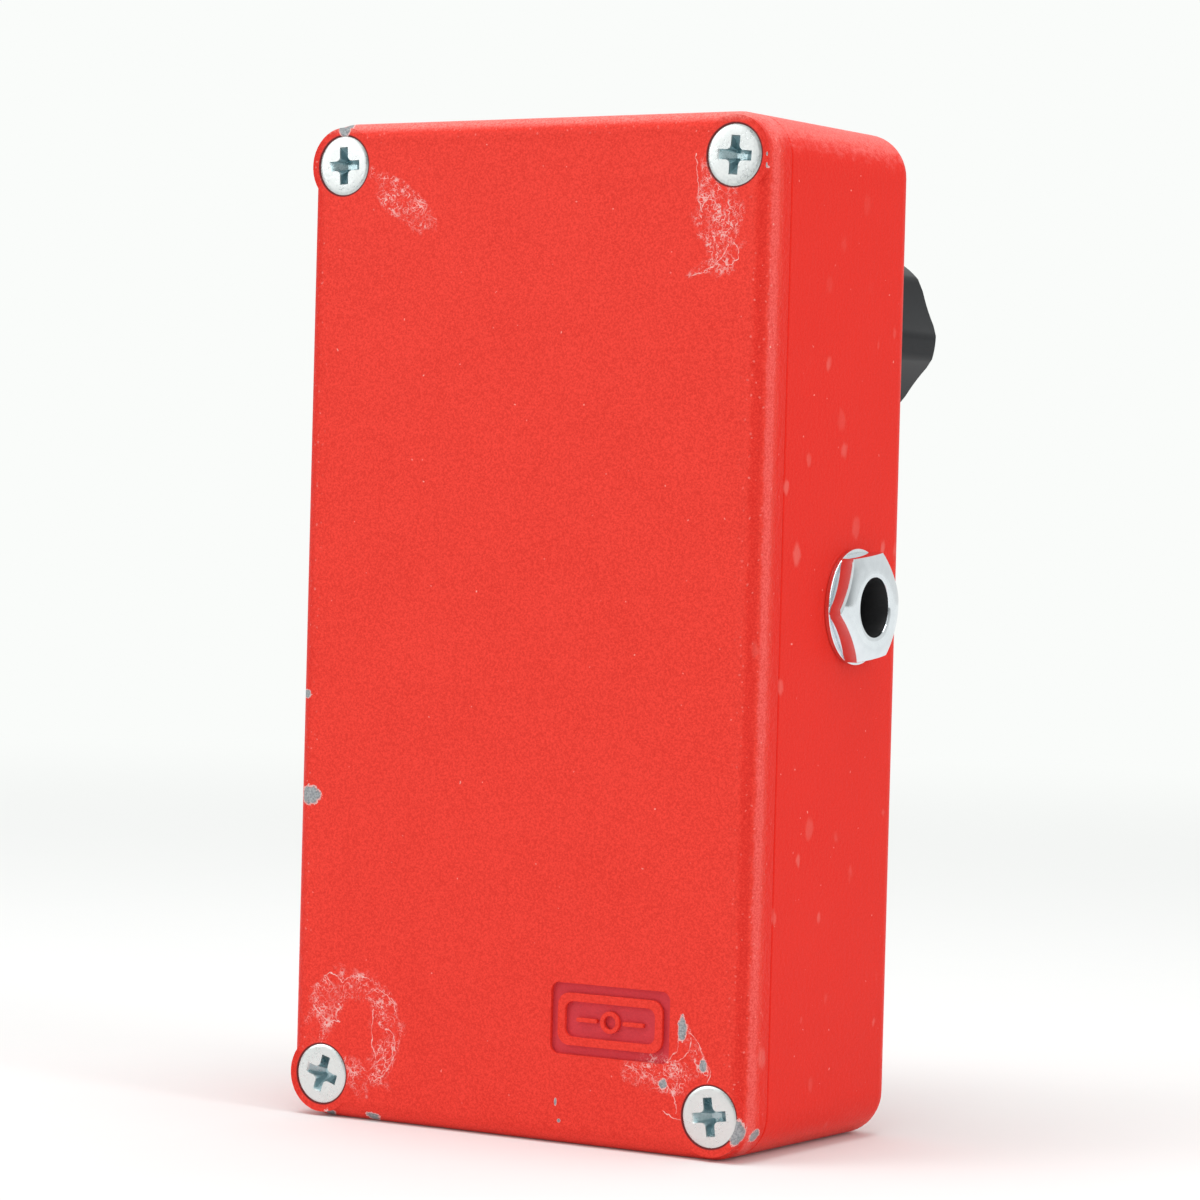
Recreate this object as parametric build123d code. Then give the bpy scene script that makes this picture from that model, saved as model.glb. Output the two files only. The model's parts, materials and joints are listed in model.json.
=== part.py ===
from build123d import *
import os
from math import asin, cos, radians, sin, sqrt, tan

# Guitar effects pedal in a small die-cast box. Millimetres.
# Origin: centre of the lower end face. X runs across the box, to the right as the player sees it.
# -Y is the control face, +Y is the screwed cover, +Z runs from the foot switch up to the knobs.

# ---- box and cover
box_width = 60.0
box_depth = 32.0
box_height = 112.0
wall = 2.0
corner_radius = 5.0
face_fillet = 2.5
cover_depth = 4.6
cover_plate = 2.0
cover_fillet = 2.0
seam_round = 0.25
lip_depth = 1.2
lip_wall = 1.2
lip_clearance = 0.2
post_radius = 4.0
pad_radius = 4.3

# ---- cover screws
screw_from_side = 4.5
screw_from_end = 4.8
screw_radius = 1.7
screw_length = 12.0
screw_head_radius = 3.35
screw_head_depth = 1.65
screw_clearance = 0.05
cover_hole_clearance = 0.25
cross_width = 0.95
cross_span = 3.9
cross_depth = 1.5
cross_taper = 12.0
screw_turns = (-8.0, 17.0, 4.0, -2.0)

# ---- name recess in the cover
recess_width = 15.2
recess_height = 7.8
recess_depth = 0.5
recess_x = -12.7
recess_z = 13.8
badge_width = 13.3
badge_height = 5.7
badge_line = 0.9
emblem_radius = 1.2
emblem_line = 0.45
emblem_bar = 2.6

# ---- knobs and potentiometers
pot_x = 15.6
pot_z = 90.5
knob_radius = 9.5
knob_height = 15.2
knob_gap = 0.8
knob_lobes = 6
knob_lobe_width = 2.7
knob_flute_depth = 0.95
knob_chamfer = 0.6
knob_recess_clearance = 0.52
knob_recess_depth = 5.0
knob_roof = 2.5
knob_turn_left = 21.0
knob_turn_right = 0.0
pointer_width = 1.2
pointer_depth = 0.7
pointer_start = 2.0
set_screw_radius = 1.5
set_screw_length = 4.0
set_screw_height = 9.5
shaft_radius = 3.0
shaft_clearance = 0.04
knob_bore_clearance = 0.02
pot_thread_wall = 0.45
pot_thread_out = 5.0
pot_plate = 1.2
pot_radius = 8.4
wafer = 1.2
wafer_tab_width = 13.0
wafer_tab_reach = 10.8
can_length = 5.6
can_wall = 0.4
wiper_radius = 6.4
wiper = 1.0
wiper_gap = 0.7
pin_pitch = 5.0
pin_width = 0.9
pin_thickness = 0.4
pot_washer_land = 2.25
pot_washer = 0.5
pot_nut_land = 1.55
pot_nut = 2.0
panel_clearance = 0.15

# ---- phone jacks
jack_y = -4.5
jack_battery_gap = 0.8
plug_bore_radius = 3.25
ferrule_wall = 1.15
ferrule_barrel = 7.6
ferrule_nut_land = 1.3
ferrule_nut = 2.2
ferrule_nut_chamfer = 0.6
ferrule_nut_turn = 53.3
jack_washer_land = 2.0
jack_washer = 0.6
jack_body = 12.0
jack_body_length = 26.6
jack_socket_depth = 6.0
jack_chamber_clearance = 0.25
jack_chamber_end = 0.5
thread_clearance = 0.05
contact_width = 3.0
contact_thickness = 0.4
contact_clearance = 0.3
contact_tail = 3.0
tip_contact_from = 2.6
tip_contact_length = 6.4
tip_contact_reach = 0.6
sleeve_contact_from = 15.1
sleeve_contact_length = 4.0
sleeve_contact_reach = -0.1

# ---- power jack
power_lip_gap = 0.2
power_nut_gap = 0.22
power_thread_radius = 5.9
power_thread_out = 3.0
power_shoulder = 1.1
power_body_length = 11.0
power_nut_land = 1.1
power_nut = 2.2
power_bore_radius = 2.8
power_bore_depth = 9.5
power_pin_radius = 1.05
power_pin_sunk = 1.0
power_tail_radius = 0.6
power_tail = 2.0
power_spring_width = 2.4
power_spring_thickness = 0.35

# ---- light
light_above_board_edge = 9.5
light_radius = 2.5
light_rim_radius = 2.9
light_rim = 1.0
bezel_rim_radius = 4.1
bezel_rim = 1.2
bezel_barrel_radius = 3.3
bezel_barrel = 3.5
light_proud = 1.2
light_clearance = 0.05
lead_thickness = 0.5
lead_spacing = 2.54

# ---- foot switch
switch_z = 18.0
switch_thread_radius = 5.95
switch_thread_out = 8.5
switch_washer_land = 2.05
switch_lock_washer = 0.6
switch_inner_nut = 2.0
switch_nut_land = 1.05
switch_outer_nut = 2.5
switch_outer_washer = 0.6
switch_frame_gap = 1.0
switch_frame = 1.0
switch_frame_side = 0.5
switch_frame_leg = 8.4
switch_body_width = 17.0
switch_body_length = 11.8
switch_body_clearance = 0.1
button_radius = 5.0
button_cap = 3.5
button_chamfer = 0.7
button_travel = 3.0
button_stop = 0.5
stem_radius = 4.05
stem_clearance = 0.06
push_rod_radius = 2.0
push_rod_clearance = 0.5
spring_length = 7.6
spring_wire_radius = 0.35
spring_radius = 3.2
spring_turns = 5
lug_width = 1.9
lug_thickness = 0.8
lug_length = 4.0
lug_pitch_x = 4.7
lug_pitch_z = 5.2
lug_clearance = 0.15
switch_board_width = 19.0
switch_board_height = 17.0
switch_board = 1.2
switch_board_lift = 2.0

# ---- boards and their parts (places on the main board: X, and height above its lower edge)
board = 1.6
board_y = -3.0
board_side_gap = 1.0
board_jack_gap = 1.7
board_post_gap = 0.4
board_notch_gap = 0.6
hole_clearance = 0.3
chip_length = 9.6
chip_width = 6.4
chip_thickness = 3.3
chip_lift = 0.6
chip_places = ((-13.5, 12.5), (-3.0, 25.0))
transistor_radius = 2.4
transistor_height = 4.6
transistor_lift = 2.5
transistor_places = ((-23.0, 8.0), (5.5, 17.5))
electrolytic_sizes = ((2.5, 7.0), (3.2, 9.0), (2.5, 7.0), (3.2, 9.0))
electrolytic_places = ((-22.8, 17.0), (-22.4, 27.0), (22.6, 19.5), (22.0, 28.2))
film_length = 7.2
film_width = 2.6
film_height = 6.5
film_places = ((-14.0, 22.0), (-14.0, 27.5), (7.5, 24.0), (7.5, 29.5))
resistor_radius = 1.15
resistor_length = 6.3
resistor_lead_radius = 0.3
resistor_lead = 1.0
resistor_places = ((-22.0, 2.5), (-5.0, 13.5), (4.5, 13.0), (-5.2, 32.2), (4.2, 32.2), (-22.4, 12.5))
trimmer_width = 6.5
trimmer_height = 4.6
trimmer_x = 15.0
trimmer_up = 22.0
rotor_radius = 2.2
rotor = 1.4
rotor_clearance = 0.06
rotor_slot = 0.6

# ---- battery
battery_length = 46.2
battery_height = 25.6
battery_thickness = 16.6
battery_round = 2.0
battery_side_gap = 2.0
battery_switch_gap = 0.4
foam = 1.2
stud_pitch = 12.7
stud_radius = 2.85
stud_length = 2.0
snap_thickness = 4.0
snap_depth = 14.0
snap_gap = 0.3
snap_clearance = 0.2

# ---- wires
wire_radius = 0.6
wire_pitch = 1.8
wire_bend_share = 0.45

# ---- planes and places worked out from the sizes above
face_y = -box_depth / 2
inner_face_y = face_y + wall
cover_y = box_depth / 2
cover_inner_y = cover_y - cover_plate
seam_y = cover_y - cover_depth
side_x = box_width / 2
inner_side_x = side_x - wall
middle_z = box_height / 2
screw_x = side_x - screw_from_side
screw_places = [
    (x, z)
    for z in (screw_from_end, box_height - screw_from_end)
    for x in (-screw_x, screw_x)
]
pot_thread_radius = shaft_radius + pot_thread_wall
pot_washer_radius = pot_thread_radius + pot_washer_land
pot_nut_flats = 2 * (pot_thread_radius + pot_nut_land)
knob_recess_radius = pot_nut_flats / sqrt(3) + knob_recess_clearance
knob_low_y = face_y - knob_gap
knob_top_y = knob_low_y - knob_height
set_screw_y = knob_low_y - set_screw_height
wafer_y = inner_face_y + pot_plate
can_y = wafer_y + wafer
pin_z = pot_z + wafer_tab_reach - pin_thickness
switch_nut_flats = 2 * (switch_thread_radius + switch_nut_land)
switch_washer_radius = switch_thread_radius + switch_washer_land
switch_nut_y = inner_face_y + switch_lock_washer
frame_y = switch_nut_y + switch_inner_nut + switch_frame_gap
switch_body_y = frame_y + switch_frame
lug_y = switch_body_y + switch_body_length
switch_board_y = lug_y + switch_board_lift
thread_top_y = face_y - switch_thread_out
button_under_y = thread_top_y - button_travel - button_stop
stem_end_y = frame_y - spring_length
battery_low_z = switch_z + switch_body_width / 2 + battery_switch_gap
battery_z = battery_low_z + battery_height / 2
battery_back_y = cover_inner_y - foam
battery_y = battery_back_y - battery_thickness / 2
battery_left_x = battery_side_gap - inner_side_x
battery_right_x = battery_left_x + battery_length
ferrule_barrel_radius = plug_bore_radius + ferrule_wall
ferrule_nut_flats = 2 * (ferrule_barrel_radius + ferrule_nut_land)
ferrule_face_x = side_x + jack_washer + ferrule_nut
jack_washer_radius = ferrule_barrel_radius + jack_washer_land
jack_chamber_radius = plug_bore_radius + jack_chamber_clearance
jack_z = battery_low_z + battery_height + jack_battery_gap + jack_body / 2
jack_low_x = inner_side_x - jack_body_length
power_shoulder_radius = power_thread_radius + power_shoulder
power_nut_flats = 2 * (power_thread_radius + power_nut_land)
power_y = seam_y - lip_depth - power_lip_gap - power_shoulder_radius
power_z = jack_z + jack_washer_radius + power_nut_gap + power_nut_flats / sqrt(3)
board_low = jack_z + jack_body / 2 + board_jack_gap
board_high = box_height - screw_from_end - post_radius - board_post_gap
board_half = inner_side_x - board_side_gap
board_back_y = board_y + board
light_z = board_low + light_above_board_edge
trimmer_z = board_low + trimmer_up


def block(x_low, x_high, y_low, y_high, z_low, z_high):
    """A plain block between two corners."""
    centre = ((x_low + x_high) / 2, (y_low + y_high) / 2, (z_low + z_high) / 2)
    return Pos(*centre) * Box(x_high - x_low, y_high - y_low, z_high - z_low)


def rod_y(radius, y_low, y_high, x=0.0, z=0.0):
    """A round bar along Y."""
    return Pos(x, (y_low + y_high) / 2, z) * Rot(90, 0, 0) * Cylinder(radius, y_high - y_low)


def rod_x(radius, x_low, x_high, y=0.0, z=0.0):
    """A round bar along X."""
    return Pos((x_low + x_high) / 2, y, z) * Rot(0, 90, 0) * Cylinder(radius, x_high - x_low)


def slab(width, height, corner, y_low, y_high, x=0.0, z=middle_z):
    """A plate across Y with rounded corners."""
    plane = Plane((x, y_high, z), x_dir=(1, 0, 0), z_dir=(0, -1, 0))
    return extrude(plane * RectangleRounded(width, height, corner), amount=y_high - y_low)


def hex_y(flats, y_low, y_high, x, z, turn=0.0):
    """A hexagonal bar along Y."""
    plane = Plane((x, y_high, z), x_dir=(1, 0, 0), z_dir=(0, -1, 0))
    outline = plane * Rot(0, 0, turn) * RegularPolygon(flats / 2, 6, major_radius=False)
    return extrude(outline, amount=y_high - y_low)


def hex_x(flats, x_low, x_high, y, z, turn=0.0):
    """A hexagonal bar along X, one corner turned up from +Y."""
    plane = Plane((x_low, y, z), x_dir=(0, 1, 0), z_dir=(1, 0, 0))
    outline = plane * Rot(0, 0, turn) * RegularPolygon(flats / sqrt(3), 6)
    return extrude(outline, amount=x_high - x_low)


def group(solids):
    """Separate solids that share one node."""
    return Compound(children=list(solids))


def save(node, shape):
    """Write one node."""
    export_step(shape, f"parts/{node}.step")


# ---- enclosure and cover

def enclosure():
    body = slab(box_width, box_height, corner_radius, face_y, seam_y)
    body = fillet(body.edges().group_by(Axis.Y)[0], face_fillet)
    body = fillet(body.edges().group_by(Axis.Y)[-1], seam_round)
    inner_width = box_width - 2 * wall
    inner_height = box_height - 2 * wall
    body -= slab(inner_width, inner_height, corner_radius - wall, inner_face_y, seam_y + wall)
    for x, z in screw_places:
        body += rod_y(post_radius, inner_face_y, seam_y, x, z)
    for x, z in screw_places:
        tip_y = cover_y - screw_length - screw_clearance
        body -= rod_y(screw_radius + screw_clearance, tip_y, seam_y + wall, x, z)
    for x in (-pot_x, pot_x):
        body -= rod_y(pot_thread_radius + panel_clearance, face_y - wall, inner_face_y + wall, x, pot_z)
    body -= rod_y(bezel_barrel_radius + panel_clearance, face_y - wall, inner_face_y + wall, 0, light_z)
    body -= rod_y(switch_thread_radius + panel_clearance, face_y - wall, inner_face_y + wall, 0, switch_z)
    jack_hole = ferrule_barrel_radius + panel_clearance
    body -= rod_x(jack_hole, inner_side_x - wall, side_x + wall, jack_y, jack_z)
    body -= rod_x(jack_hole, -side_x - wall, wall - inner_side_x, jack_y, jack_z)
    power_hole = power_thread_radius + panel_clearance
    body -= rod_x(power_hole, inner_side_x - wall, side_x + wall, power_y, power_z)
    return body


def cover_lip():
    """The ring inside the box that locates the cover, cut away round the corner posts."""
    outer_width = box_width - 2 * wall - 2 * lip_clearance
    outer_height = box_height - 2 * wall - 2 * lip_clearance
    outer_corner = corner_radius - wall - lip_clearance
    low = seam_y - lip_depth
    lip = slab(outer_width, outer_height, outer_corner, low, cover_inner_y)
    inner_width = outer_width - 2 * lip_wall
    inner_height = outer_height - 2 * lip_wall
    lip -= slab(inner_width, inner_height, outer_corner - lip_wall, low - wall, cover_y)
    for x, z in screw_places:
        lip -= rod_y(post_radius + lip_clearance, low - wall, seam_y, x, z)
    return lip


def badge():
    """A raised frame with a plain ring and two bars, standing in the recess."""
    low = cover_y - recess_depth
    frame = slab(badge_width, badge_height, badge_height / 4, low, cover_y, recess_x, recess_z)
    inner_width = badge_width - 2 * badge_line
    inner_height = badge_height - 2 * badge_line
    frame -= slab(inner_width, inner_height, inner_height / 4, low, cover_y, recess_x, recess_z)
    ring = rod_y(emblem_radius, low, cover_y, recess_x, recess_z)
    ring -= rod_y(emblem_radius - emblem_line, low, cover_y, recess_x, recess_z)
    marks = [frame, ring]
    for side in (-1, 1):
        bar_x = recess_x + side * (emblem_radius + emblem_line + emblem_bar / 2)
        marks.append(slab(emblem_bar, emblem_line, emblem_line / 3, low, cover_y, bar_x, recess_z))
    return marks


def cover():
    body = slab(box_width, box_height, corner_radius, seam_y, cover_y)
    body = fillet(body.edges().group_by(Axis.Y)[-1], cover_fillet)
    body = fillet(body.edges().group_by(Axis.Y)[0], seam_round)
    inner_width = box_width - 2 * wall
    inner_height = box_height - 2 * wall
    body -= slab(inner_width, inner_height, corner_radius - wall, seam_y - wall, cover_inner_y)
    for x, z in screw_places:
        body += rod_y(pad_radius, seam_y, cover_y, x, z)
    body += cover_lip()
    for x, z in screw_places:
        body -= rod_y(screw_radius + cover_hole_clearance, seam_y - wall, cover_y + wall, x, z)
        body -= countersink(x, z, screw_head_radius + screw_clearance, screw_clearance)
    body -= slab(recess_width, recess_height, 1.0, cover_y - recess_depth, cover_y + wall, recess_x, recess_z)
    for mark in badge():
        body += mark
    return body


def countersink(x, z, top_radius, extra=0.0):
    """The cone that a flat screw head fills, its wide end in the cover's face."""
    depth = screw_head_depth + extra
    cone = Cone(top_radius - screw_head_depth, top_radius, depth)
    return Pos(x, cover_y - depth / 2, z) * Rot(-90, 0, 0) * cone


def cover_screw(x, z, turn):
    screw = countersink(x, z, screw_head_radius)
    screw += rod_y(screw_radius, cover_y - screw_length, cover_y - screw_head_depth / 2, x, z)
    face = Plane((x, cover_y, z), x_dir=(1, 0, 0), z_dir=(0, -1, 0))
    for angle in (turn, turn + 90):
        slot = face * Rot(0, 0, angle) * Rectangle(cross_span, cross_width)
        screw -= extrude(slot, amount=cross_depth, taper=cross_taper)
    return screw


# ---- knobs and potentiometers

def knob_blank(x):
    """The fluted outside of a knob, a lobe at the top."""
    half_lobe = asin(knob_lobe_width / 2 / knob_radius)
    half_flute = radians(180 / knob_lobes) - half_lobe
    half_chord = knob_radius * sin(half_flute)
    sag = knob_flute_depth - knob_radius * (1 - cos(half_flute))
    flute_radius = (half_chord**2 + sag**2) / (2 * sag)
    flute_reach = knob_radius - knob_flute_depth + flute_radius
    blank = rod_y(knob_radius, knob_top_y, knob_low_y, x, pot_z)
    blank = chamfer(blank.edges().group_by(Axis.Y)[0], knob_chamfer)
    for number in range(knob_lobes):
        angle = radians(90 + (number + 0.5) * 360 / knob_lobes)
        flute_x = x + flute_reach * cos(angle)
        flute_z = pot_z + flute_reach * sin(angle)
        blank -= rod_y(flute_radius, knob_top_y - wall, knob_low_y + wall, flute_x, flute_z)
    return blank


def pointer_cut(x):
    """The groove along a knob's top and down its upper lobe."""
    half = pointer_width / 2
    high_z = pot_z + knob_radius + wall
    bar = block(x - half, x + half, knob_top_y - wall, knob_low_y + wall, pot_z + pointer_start, high_z)
    return bar - rod_y(knob_radius - pointer_depth, knob_top_y + pointer_depth, knob_low_y + wall, x, pot_z)


def turned(shape, x, turn):
    """Turn a knob's piece clockwise, as the player sees it, about the shaft."""
    return Pos(x, 0, pot_z) * Rot(0, turn, 0) * Pos(-x, 0, -pot_z) * shape


def knob(x, turn):
    body = knob_blank(x) - pointer_cut(x)
    body -= rod_y(knob_recess_radius, knob_low_y - knob_recess_depth, knob_low_y + wall, x, pot_z)
    body -= rod_y(shaft_radius + knob_bore_clearance, knob_top_y + knob_roof, knob_low_y, x, pot_z)
    hole = Cylinder(set_screw_radius + screw_clearance, knob_radius + wall)
    body -= Pos(x, set_screw_y, pot_z - (knob_radius + wall) / 2) * hole
    return turned(body, x, turn)


def knob_pointer(x, turn):
    return turned(knob_blank(x) & pointer_cut(x), x, turn)


def knob_set_screw(x, turn):
    high_z = pot_z - shaft_radius - knob_bore_clearance
    screw = Pos(x, set_screw_y, high_z - set_screw_length / 2) * Cylinder(set_screw_radius, set_screw_length)
    key = RegularPolygon(set_screw_radius / 2, 6)
    socket = Plane((x, set_screw_y, high_z - set_screw_length), z_dir=(0, 0, 1)) * key
    screw -= extrude(socket, amount=set_screw_radius)
    return turned(screw, x, turn)


def pot_shaft(x):
    """The turning shaft, with the wiper disc on its inner end."""
    top_y = knob_top_y + knob_roof + knob_bore_clearance
    disc_y = can_y + wiper_gap
    shaft = rod_y(shaft_radius, top_y, disc_y + wiper, x, pot_z)
    shaft += rod_y(wiper_radius, disc_y, disc_y + wiper, x, pot_z)
    return shaft


def pot_bushing(x):
    bushing = rod_y(pot_radius, inner_face_y, wafer_y, x, pot_z)
    bushing += rod_y(pot_thread_radius, face_y - pot_thread_out, inner_face_y, x, pot_z)
    bushing -= rod_y(shaft_radius + shaft_clearance, face_y - 2 * pot_thread_out, can_y, x, pot_z)
    return bushing


def pot_wafer(x):
    disc = rod_y(pot_radius, wafer_y, can_y, x, pot_z)
    half = wafer_tab_width / 2
    disc += block(x - half, x + half, wafer_y, can_y, pot_z, pot_z + wafer_tab_reach)
    disc -= rod_y(shaft_radius + hole_clearance, wafer_y - wall, can_y + wall, x, pot_z)
    return disc


def pot_can(x):
    can = rod_y(pot_radius, can_y, can_y + can_length, x, pot_z)
    can -= rod_y(pot_radius - can_wall, can_y - wall, can_y + can_length - can_wall, x, pot_z)
    return can


def pot_pins(x):
    """Three pins, each up the wafer and then back through the main board."""
    pins = []
    half = pin_width / 2
    low_z = pot_z + pot_radius + hole_clearance
    high_z = pot_z + wafer_tab_reach
    for number in (-1, 0, 1):
        pin_x = x + number * pin_pitch
        pin = block(pin_x - half, pin_x + half, can_y, can_y + pin_thickness, low_z, high_z)
        pin += block(pin_x - half, pin_x + half, can_y, board_back_y + pin_width, pin_z, high_z)
        pins.append(pin)
    return group(pins)


def pot_washer_at(x):
    washer = rod_y(pot_washer_radius, face_y - pot_washer, face_y, x, pot_z)
    return washer - rod_y(pot_thread_radius + panel_clearance, face_y - wall, face_y + wall, x, pot_z)


def pot_nut_at(x):
    high_y = face_y - pot_washer
    nut = hex_y(pot_nut_flats, high_y - pot_nut, high_y, x, pot_z)
    return nut - rod_y(pot_thread_radius + thread_clearance, high_y - 2 * pot_nut, face_y, x, pot_z)


# ---- phone jacks: drawn on the +X side, mirrored for the -X side

def ferrule():
    """The hexagon nut with the barrel that screws into the jack's body."""
    high_x = ferrule_face_x
    low_x = side_x + jack_washer
    nut = hex_x(ferrule_nut_flats, low_x, high_x, jack_y, jack_z, ferrule_nut_turn)
    corner = ferrule_nut_flats / sqrt(3)
    length = corner - ferrule_nut_flats / 2 + ferrule_nut_chamfer
    bevel = Pos(high_x - length / 2, jack_y, jack_z) * Rot(0, 90, 0) * Cone(
        corner + ferrule_nut_chamfer / 2, ferrule_nut_flats / 2 - ferrule_nut_chamfer / 2, length)
    tail = rod_x(corner + 1, low_x - 1, high_x - length, jack_y, jack_z)
    nut = nut & (bevel + tail)
    nut += rod_x(ferrule_barrel_radius, low_x - ferrule_barrel, low_x, jack_y, jack_z)
    return nut - rod_x(plug_bore_radius, low_x - 2 * ferrule_barrel, high_x + wall, jack_y, jack_z)


def jack_washer_ring():
    washer = rod_x(jack_washer_radius, side_x, side_x + jack_washer, jack_y, jack_z)
    hole = ferrule_barrel_radius + panel_clearance
    return washer - rod_x(hole, side_x - wall, side_x + wall, jack_y, jack_z)


def contact_slot(start, length):
    """The slot in the jack's back wall that holds one contact."""
    half = contact_width / 2 + contact_clearance
    low_x = jack_low_x + start - contact_clearance
    high_x = jack_low_x + start + length + contact_clearance
    return block(low_x, high_x, jack_y, jack_y + jack_body, jack_z - half, jack_z + half)


def jack_moulding():
    half = jack_body / 2
    body = block(jack_low_x, inner_side_x, jack_y - half, jack_y + half, jack_z - half, jack_z + half)
    socket = ferrule_barrel_radius + thread_clearance
    body -= rod_x(socket, inner_side_x - jack_socket_depth, side_x, jack_y, jack_z)
    body -= rod_x(jack_chamber_radius, jack_low_x + jack_chamber_end, side_x, jack_y, jack_z)
    body -= contact_slot(tip_contact_from, tip_contact_length)
    body -= contact_slot(sleeve_contact_from, sleeve_contact_length)
    return body


def contact(start, length, reach):
    """A strip along the plug's path, with a tail out of the jack's back wall."""
    low_y = jack_y + jack_chamber_radius - reach
    high_y = low_y + contact_thickness
    half = contact_width / 2
    low_x = jack_low_x + start
    high_x = low_x + length
    strip = block(low_x, high_x, low_y, high_y, jack_z - half, jack_z + half)
    tail_y = jack_y + jack_body / 2 + contact_tail
    strip += block(high_x - contact_thickness, high_x, low_y, tail_y, jack_z - half, jack_z + half)
    return strip


def jack_contacts():
    tip = contact(tip_contact_from, tip_contact_length, tip_contact_reach)
    sleeve = contact(sleeve_contact_from, sleeve_contact_length, sleeve_contact_reach)
    return [tip, sleeve]


def left_side(shape):
    """The same piece on the -X side."""
    return mirror(shape, about=Plane.YZ)


# ---- power jack

def power_jack_body():
    low_x = inner_side_x - power_body_length
    high_x = side_x + power_thread_out
    body = rod_x(power_shoulder_radius, low_x, inner_side_x, power_y, power_z)
    body += rod_x(power_thread_radius, inner_side_x, high_x, power_y, power_z)
    body -= rod_x(power_bore_radius, high_x - power_bore_depth, high_x + wall, power_y, power_z)
    pin_hole = power_pin_radius + thread_clearance
    body -= rod_x(pin_hole, low_x - wall, high_x, power_y, power_z)
    slot_low = power_y + power_bore_radius - power_spring_thickness
    half = power_spring_width / 2 + thread_clearance
    slot_high = power_y + power_bore_radius + power_spring_thickness + thread_clearance
    body -= block(low_x - wall, side_x, slot_low, slot_high, power_z - half, power_z + half)
    return body


def power_jack_pin():
    high_x = side_x + power_thread_out
    low_x = inner_side_x - power_body_length
    pin = rod_x(power_pin_radius, low_x, high_x - power_pin_sunk, power_y, power_z)
    pin += rod_x(power_tail_radius, low_x - power_tail, low_x, power_y, power_z)
    return pin


def power_jack_spring():
    low_x = inner_side_x - power_body_length - power_tail
    low_y = power_y + power_bore_radius
    half = power_spring_width / 2
    return block(low_x, inner_side_x, low_y, low_y + power_spring_thickness, power_z - half, power_z + half)


def power_jack_nut():
    nut = hex_x(power_nut_flats, side_x, side_x + power_nut, power_y, power_z, 90)
    hole = power_thread_radius + thread_clearance
    return nut - rod_x(hole, side_x - wall, side_x + 2 * power_nut, power_y, power_z)


# ---- light

def light_bezel():
    ring = rod_y(bezel_rim_radius, face_y - bezel_rim, face_y, 0, light_z)
    ring = chamfer(ring.edges().group_by(Axis.Y)[0], bezel_rim / 3)
    ring += rod_y(bezel_barrel_radius, face_y, face_y + bezel_barrel, 0, light_z)
    return ring - rod_y(light_radius + light_clearance, face_y - wall, face_y + 2 * bezel_barrel, 0, light_z)


def light_lens():
    """A round-nosed lens whose rim rests behind the bezel."""
    rim_y = face_y + bezel_barrel
    nose_y = face_y - bezel_rim - light_proud + light_radius
    lens = rod_y(light_radius, nose_y, rim_y, 0, light_z)
    lens += Pos(0, nose_y, light_z) * Sphere(light_radius)
    lens += rod_y(light_rim_radius, rim_y, rim_y + light_rim, 0, light_z)
    return lens


def light_leads():
    low_y = face_y + bezel_barrel + light_rim
    half = lead_thickness / 2
    leads = []
    for side in (-1, 1):
        x = side * lead_spacing / 2
        lead = block(x - half, x + half, low_y, board_back_y + 2 * half, light_z - half, light_z + half)
        leads.append(lead)
    return group(leads)


# ---- foot switch

def switch_bushing():
    """The threaded tube that the stem slides in, standing on the frame."""
    tube = rod_y(switch_thread_radius, thread_top_y, frame_y, 0, switch_z)
    return tube - rod_y(stem_radius + stem_clearance, thread_top_y - wall, frame_y + wall, 0, switch_z)


def switch_button():
    cap = rod_y(button_radius, button_under_y - button_cap, button_under_y, 0, switch_z)
    cap = chamfer(cap.edges().group_by(Axis.Y)[0], button_chamfer)
    cap += rod_y(stem_radius, button_under_y, stem_end_y, 0, switch_z)
    cap += rod_y(push_rod_radius, stem_end_y, frame_y + switch_frame / 2, 0, switch_z)
    return cap


def switch_spring():
    """The return spring between the stem's shoulder and the frame, as a wound wire."""
    height = spring_length - 2 * spring_wire_radius
    path = Helix(height / spring_turns, height, spring_radius)
    section = Plane(path @ 0, z_dir=path % 0) * Circle(spring_wire_radius)
    coil = sweep(section, path=path, is_frenet=True)
    return Pos(0, frame_y - spring_wire_radius, switch_z) * Rot(90, 0, 0) * coil


def switch_nut(y_low, thickness, turn):
    nut = hex_y(switch_nut_flats, y_low, y_low + thickness, 0, switch_z, turn)
    hole = switch_thread_radius + thread_clearance
    return nut - rod_y(hole, y_low - wall, y_low + thickness + wall, 0, switch_z)


def switch_washer(y_low, thickness):
    washer = rod_y(switch_washer_radius, y_low, y_low + thickness, 0, switch_z)
    hole = switch_thread_radius + panel_clearance
    return washer - rod_y(hole, y_low - wall, y_low + thickness + wall, 0, switch_z)


def switch_frame_piece():
    """The steel plate behind the bushing, with two legs that hold the moulded body."""
    half = switch_body_width / 2 + switch_body_clearance
    outer = half + switch_frame_side
    half_leg = switch_body_width / 3
    low_z = switch_z - switch_body_width / 2
    high_z = switch_z + switch_body_width / 2
    frame = block(-outer, outer, frame_y, switch_body_y, low_z, high_z)
    leg_y = switch_body_y + switch_frame_leg
    for x_low in (-outer, half):
        x_high = x_low + switch_frame_side
        frame += block(x_low, x_high, switch_body_y, leg_y, switch_z - half_leg, switch_z + half_leg)
    return frame - rod_y(push_rod_radius + push_rod_clearance, frame_y - wall, leg_y, 0, switch_z)


def switch_moulding():
    half = switch_body_width / 2
    body = block(-half, half, switch_body_y, lug_y, switch_z - half, switch_z + half)
    depth = button_travel + push_rod_clearance
    return body - rod_y(push_rod_radius + push_rod_clearance, frame_y, switch_body_y + depth, 0, switch_z)


def lug_places():
    return [
        (column * lug_pitch_x, switch_z + row * lug_pitch_z)
        for row in (-1, 0, 1)
        for column in (-1, 0, 1)
    ]


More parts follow.
